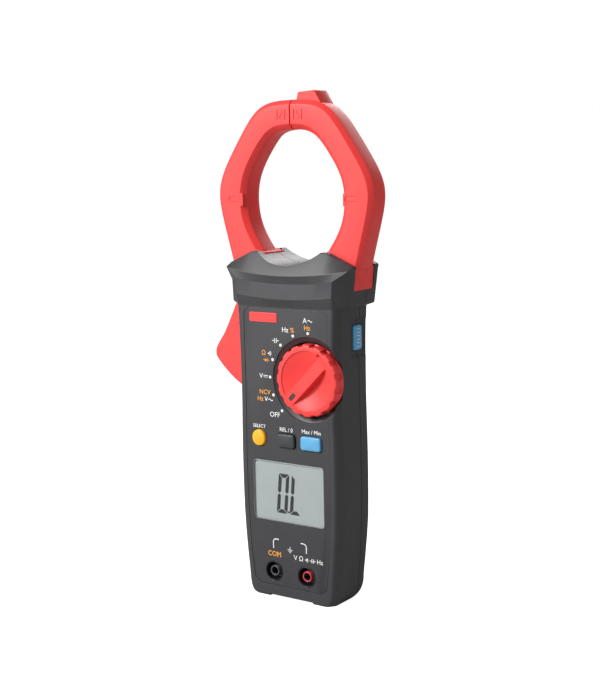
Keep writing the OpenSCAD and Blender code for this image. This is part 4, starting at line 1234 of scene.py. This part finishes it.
def build_stage():
    """Wide pale floor that meets the backdrop without a visible edge."""
    size = 40.0
    floor = bpy.data.meshes.new("floor")
    floor.from_pydata([(-size, -size, 0), (size, -size, 0), (size, size, 0), (-size, size, 0)], [], [(0, 1, 2, 3)])
    piece = bpy.data.objects.new("floor", floor)
    bpy.context.scene.collection.objects.link(piece)
    pale, tree, shader = new_material("floor_pale")
    shader.inputs["Base Color"].default_value = (0.5, 0.5, 0.5, 1)
    shader.inputs["Roughness"].default_value = 0.9
    shader.inputs["Specular IOR Level"].default_value = 0.0
    glow = add_node(tree, "ShaderNodeEmission")
    glow.inputs["Color"].default_value = (1, 1, 1, 1)
    path = add_node(tree, "ShaderNodeLightPath")
    level = add_node(tree, "ShaderNodeMath", operation="MULTIPLY")
    level.inputs[1].default_value = 0.92
    tree.links.new(path.outputs["Is Camera Ray"], level.inputs[0])
    tree.links.new(level.outputs["Value"], glow.inputs["Strength"])
    both = add_node(tree, "ShaderNodeAddShader")
    tree.links.new(shader.outputs["BSDF"], both.inputs[0])
    tree.links.new(glow.outputs["Emission"], both.inputs[1])
    tree.links.new(both.outputs["Shader"], tree.nodes["Material Output"].inputs["Surface"])
    floor.materials.append(pale)


def area_light(name, spot, aim, size, power):
    data = bpy.data.lights.new(name, "AREA")
    data.shape = "RECTANGLE"
    data.size, data.size_y = size
    data.energy = power
    lamp = bpy.data.objects.new(name, data)
    lamp.location = spot
    lamp.rotation_euler = (Vector(aim) - Vector(spot)).to_track_quat("-Z", "Y").to_euler()
    bpy.context.scene.collection.objects.link(lamp)


def build_lights():
    """White backdrop for the camera, low fill, a high key from front left and a wide soft front light."""
    world = bpy.data.worlds.new("studio")
    world.use_nodes = True
    tree = world.node_tree
    seen = tree.nodes["Background"]
    seen.inputs["Color"].default_value = (1, 1, 1, 1)
    seen.inputs["Strength"].default_value = 1.0
    fill = add_node(tree, "ShaderNodeBackground")
    fill.inputs["Color"].default_value = (1, 1, 1, 1)
    fill.inputs["Strength"].default_value = 0.26
    path = add_node(tree, "ShaderNodeLightPath")
    mix = add_node(tree, "ShaderNodeMixShader")
    tree.links.new(path.outputs["Is Camera Ray"], mix.inputs["Fac"])
    tree.links.new(fill.outputs["Background"], mix.inputs[1])
    tree.links.new(seen.outputs["Background"], mix.inputs[2])
    tree.links.new(mix.outputs["Shader"], tree.nodes["World Output"].inputs["Surface"])
    bpy.context.scene.world = world
    area_light("key", (-0.62, -1.0, 0.95), (0, 0, 0.15), (0.5, 0.5), 24)
    area_light("front", (-0.95, -1.25, 0.16), (0, 0, 0.14), (0.9, 1.0), 7)
    area_light("side", (1.25, 0.25, 0.5), (0, 0, 0.15), (0.5, 1.0), 2.5)
    area_light("back", (-0.3, 1.3, 0.9), (0, 0, 0.15), (0.9, 0.6), 9)


def build_camera():
    azimuth, elevation, roll = math.radians(35.087), math.radians(8.619), math.radians(-1.248)
    back = Vector((math.sin(azimuth) * math.cos(elevation), -math.cos(azimuth) * math.cos(elevation),
                   math.sin(elevation)))
    right = (-back).cross(Vector((0, 0, 1))).normalized()
    up = back.cross(right)
    side = right * math.cos(roll) + up * math.sin(roll)
    above = up * math.cos(roll) - right * math.sin(roll)
    data = bpy.data.cameras.new("camera")
    data.sensor_width = 36
    data.sensor_fit = "AUTO"
    data.lens = 66.857
    data.clip_start = 0.01
    camera = bpy.data.objects.new("camera", data)
    camera.matrix_world = Matrix((
        (side.x, above.x, back.x, 0.41569), (side.y, above.y, back.y, -0.59544),
        (side.z, above.z, back.z, 0.25190), (0, 0, 0, 1)))
    bpy.context.scene.collection.objects.link(camera)
    bpy.context.scene.camera = camera
    bpy.context.scene.view_settings.view_transform = "Standard"
    bpy.context.scene.view_settings.look = "None"


build_camera()
build_stage()
build_lights()
finish_kept()
build_case()
build_faceplate()
build_badge()
build_display()
build_buttons()
build_fixed_jaw(PART_Y)
build_moving_jaw(PART_Y)
build_trigger()
build_dial()
build_sockets()
build_print()
build_hold_print()
build_door()
build_screws()
